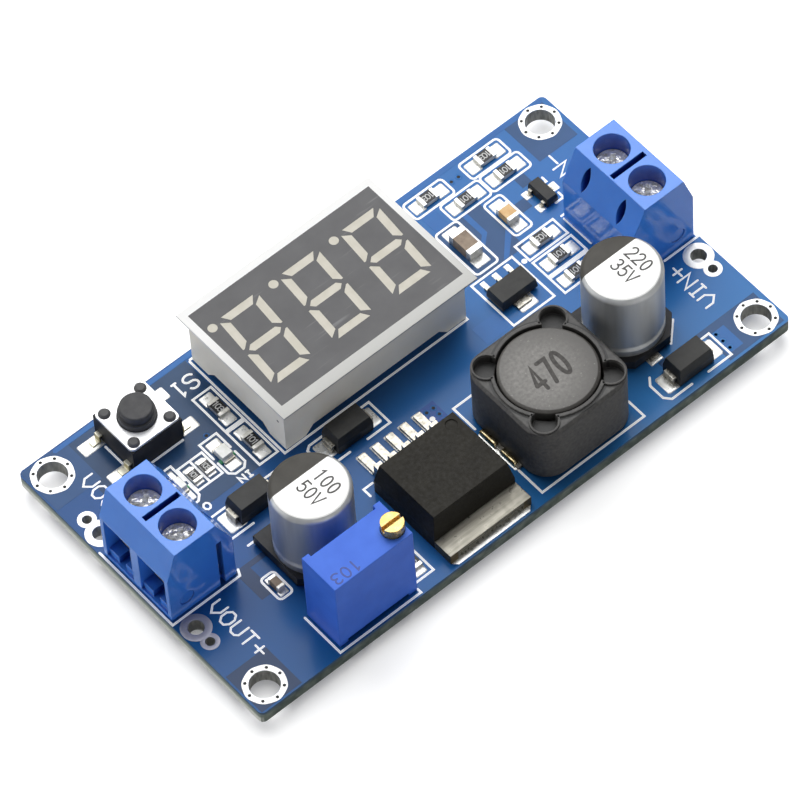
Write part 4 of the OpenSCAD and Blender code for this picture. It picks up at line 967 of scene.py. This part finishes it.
# Chip resistors
# Slips of white ceramic with a dark glazed film on top and plated ends. A value code is printed on each
# in white.
chip_top = top_of("resistor_bodies")
small_top = board_top + 0.8 * (chip_top - board_top)
code_rise = 0.5 * print_rise
glaze = new_finish("resistor_glaze", (28, 28, 30), 0.28, shine=0.3)
upper_face = above(glaze, position(glaze)[1][2], 0.5)
dark_glass = between(glaze, grain(glaze, 0.6), (22, 22, 24), (34, 34, 36))
join(glaze, between(glaze, upper_face, (222, 220, 214), dark_glass, 0.0, 1.0))
relief(glaze, 0.4, 0.006, 0.05, detail=3.0)
dress(glaze, "resistor_bodies")
plating = new_finish("chip_plating", (216, 214, 208), 0.32, 0.85)
mottle(plating, 0.4, (192, 190, 184), (232, 231, 226))
relief(plating, 0.3, 0.015, 0.06)
dress(plating, "resistor_ends", "ceramic_ends")
code_ink = new_finish("code_ink", (206, 206, 204), 0.5)
mottle(code_ink, 0.3, (190, 190, 188), (216, 216, 214))
codes = [
    ("103", 23.8, 16.0, 180), ("101", 24.15, 13.4, 180), ("103", 16.5, 16.0, 180), ("101", 19.1, 13.4, 180),
    ("103", 21.49, 5.03, 180), ("101", 21.49, 2.4, 180), ("101", 21.4, -0.1, 180),
    ("103", -14.2, 10.85, -90), ("101", -14.2, 5.78, -90), ("103", -11.9, -14.6, -90),
]
small_codes = [("101", -20.85, 6.5, -90), ("103", -19.35, 6.5, -90)]
patch = bmesh.new()
for text, x, y, turn in codes:
    write(patch, text, x, y, height=0.72, pitch=0.4, turn=turn, line=0.1, low=chip_top,
          high=chip_top + code_rise)
for text, x, y, turn in small_codes:
    write(patch, text, x, y, height=0.6, pitch=0.3, turn=turn, line=0.08, low=small_top,
          high=small_top + code_rise)
new_piece("resistor_codes", patch, code_ink)

# Chip capacitors
# Fired ceramic blocks, tan to grey brown, with a matt and slightly rough skin. They are soldered down by
# their plated ends. The one beyond tan_from is the tan one.
tan_from = 18 * MM
fired = new_finish("fired_ceramic", (150, 128, 104), 0.5)
brown = between(fired, grain(fired, 0.8, 4.0), (128, 108, 88), (160, 140, 118))
tan = between(fired, grain(fired, 0.8, 4.0), (224, 170, 102), (242, 204, 146))
pale_one = above(fired, position(fired)[0][0], tan_from)
join(fired, between(fired, pale_one, brown, tan, 0.0, 1.0))
relief(fired, 0.2, 0.012, 0.08, detail=3.0)
dress(fired, "ceramic_bodies")

# Indicator lamps
# Two small lamps: a clear resin block over a chip on a thin white carrier. Green stripes on the carrier
# mark the side of the negative lead.
lamp_resin = new_finish("lamp_resin", (248, 248, 242), 0.2)
mottle(lamp_resin, 0.5, (238, 239, 230), (254, 254, 251))
relief(lamp_resin, 0.4, 0.01, 0.08, detail=3.0)
dress(lamp_resin, "led_bodies")
stripe_green = new_finish("stripe_green", (52, 148, 96), 0.45)
mottle(stripe_green, 0.3, (42, 132, 84), (70, 164, 110))
stripe_out, stripe_half, stripe_front, stripe_back, stripe_rise = 0.74, 0.16, 5.75, 6.25, 0.2
patch = bmesh.new()
for x in (-17.16, -22.79):
    for edge in (x - stripe_out, x + stripe_out):
        left, right = edge - stripe_half, edge + stripe_half
        pillow(patch, left, right, stripe_front, stripe_back, board_top, stripe_rise)
new_piece("lamp_stripes", patch, stripe_green, 60)

# Floor, light and camera
# A white table that takes the module's soft shadow and a painted contact shadow close to it, a large soft
# lamp above and behind, weaker ones from the output end and the front, a pale room, and a long lens that
# looks down at the module.
scene = bpy.context.scene
scene.view_settings.view_transform = "Standard"
floor_white = new_finish("white_table", (225, 225, 225), 0.9, shine=0.0)
rays = add_node(floor_white, "ShaderNodeLightPath").outputs
# Painted shadow: the table's glow for the camera falls off where little open sky reaches, close under and
# beside the module.
reach_in = {"Distance": 2 * MM}
open_sky = add_node(floor_white, "ShaderNodeAmbientOcclusion", reach_in, samples=8)
glow_with_contact_shadow = between(floor_white, open_sky.outputs["AO"], 0.03, 0.68, 0.45, 0.92)
join(floor_white, calc(floor_white, "MULTIPLY", rays["Is Camera Ray"], glow_with_contact_shadow), "Emission Strength")
table_z = cad_box[0][2] / MM
table_r, table_depth = 4000, 20
patch = bmesh.new()
flat_plate(patch, arc(0, 0, table_r, table_r, 0, 357.5, 143), table_z - table_depth, table_z)
table = new_object("white_table", patch, floor_white)

room = bpy.data.worlds.new("pale_room")
room.use_nodes = True
scene.world = room
rays = add_node(room, "ShaderNodeLightPath").outputs
mirrored = calc(room, "MAXIMUM", rays["Is Glossy Ray"], rays["Is Transmission Ray"])
seen = calc(room, "MAXIMUM", rays["Is Camera Ray"], calc(room, "MULTIPLY", mirrored, 0.35))
sky = room.node_tree.nodes["Background"]
sky.inputs["Color"].default_value = (1, 1, 1, 1)
room.node_tree.links.new(between(room, seen, 0.035, 1.0, 0.0, 1.0), sky.inputs["Strength"])

lamp_distance = 0.7
lamps = (("window_lamp", (0.3, 0.46, 0.835), 0.74, 6.2), ("side_lamp", (-0.82, 0.52, 0.24), 0.45, 1.4),
         ("front_lamp", (-0.1, -0.95, 0.28), 0.5, 0.68))
for name, toward, size, power in lamps:
    lamp = bpy.data.lights.new(name, "AREA")
    lamp.shape = "SQUARE"
    lamp.size = size
    lamp.energy = power
    lamp_stand = bpy.data.objects.new(name, lamp)
    lamp_stand.location = lamp_distance * Vector(toward)
    lamp_stand.rotation_euler = (-lamp_stand.location).to_track_quat("-Z", "Y").to_euler()
    scene.collection.objects.link(lamp_stand)

view_turn, view_rise, view_roll = math.radians(-36.828), math.radians(55.909), math.radians(-4.513)
view_distance = 647.924
sensor, focal_pixels, image_pixels = 36, 6822.27, 800
aim = Vector((-0.734, 0.033, board_top))
back = Vector((math.sin(view_turn) * math.cos(view_rise), -math.cos(view_turn) * math.cos(view_rise),
               math.sin(view_rise)))
level = Vector((math.cos(view_turn), math.sin(view_turn), 0))
upward = back.cross(level)
right = level * math.cos(view_roll) + upward * math.sin(view_roll)
upward = upward * math.cos(view_roll) - level * math.sin(view_roll)
long_lens = bpy.data.cameras.new("long_lens")
long_lens.sensor_width = sensor
long_lens.lens = sensor * focal_pixels / image_pixels
long_lens.clip_start = 0.01
camera = bpy.data.objects.new("long_lens", long_lens)
stand = Matrix.Translation((aim + back * view_distance) * MM)
camera.matrix_world = stand @ Matrix((right, upward, back)).transposed().to_4x4()
scene.collection.objects.link(camera)
scene.camera = camera
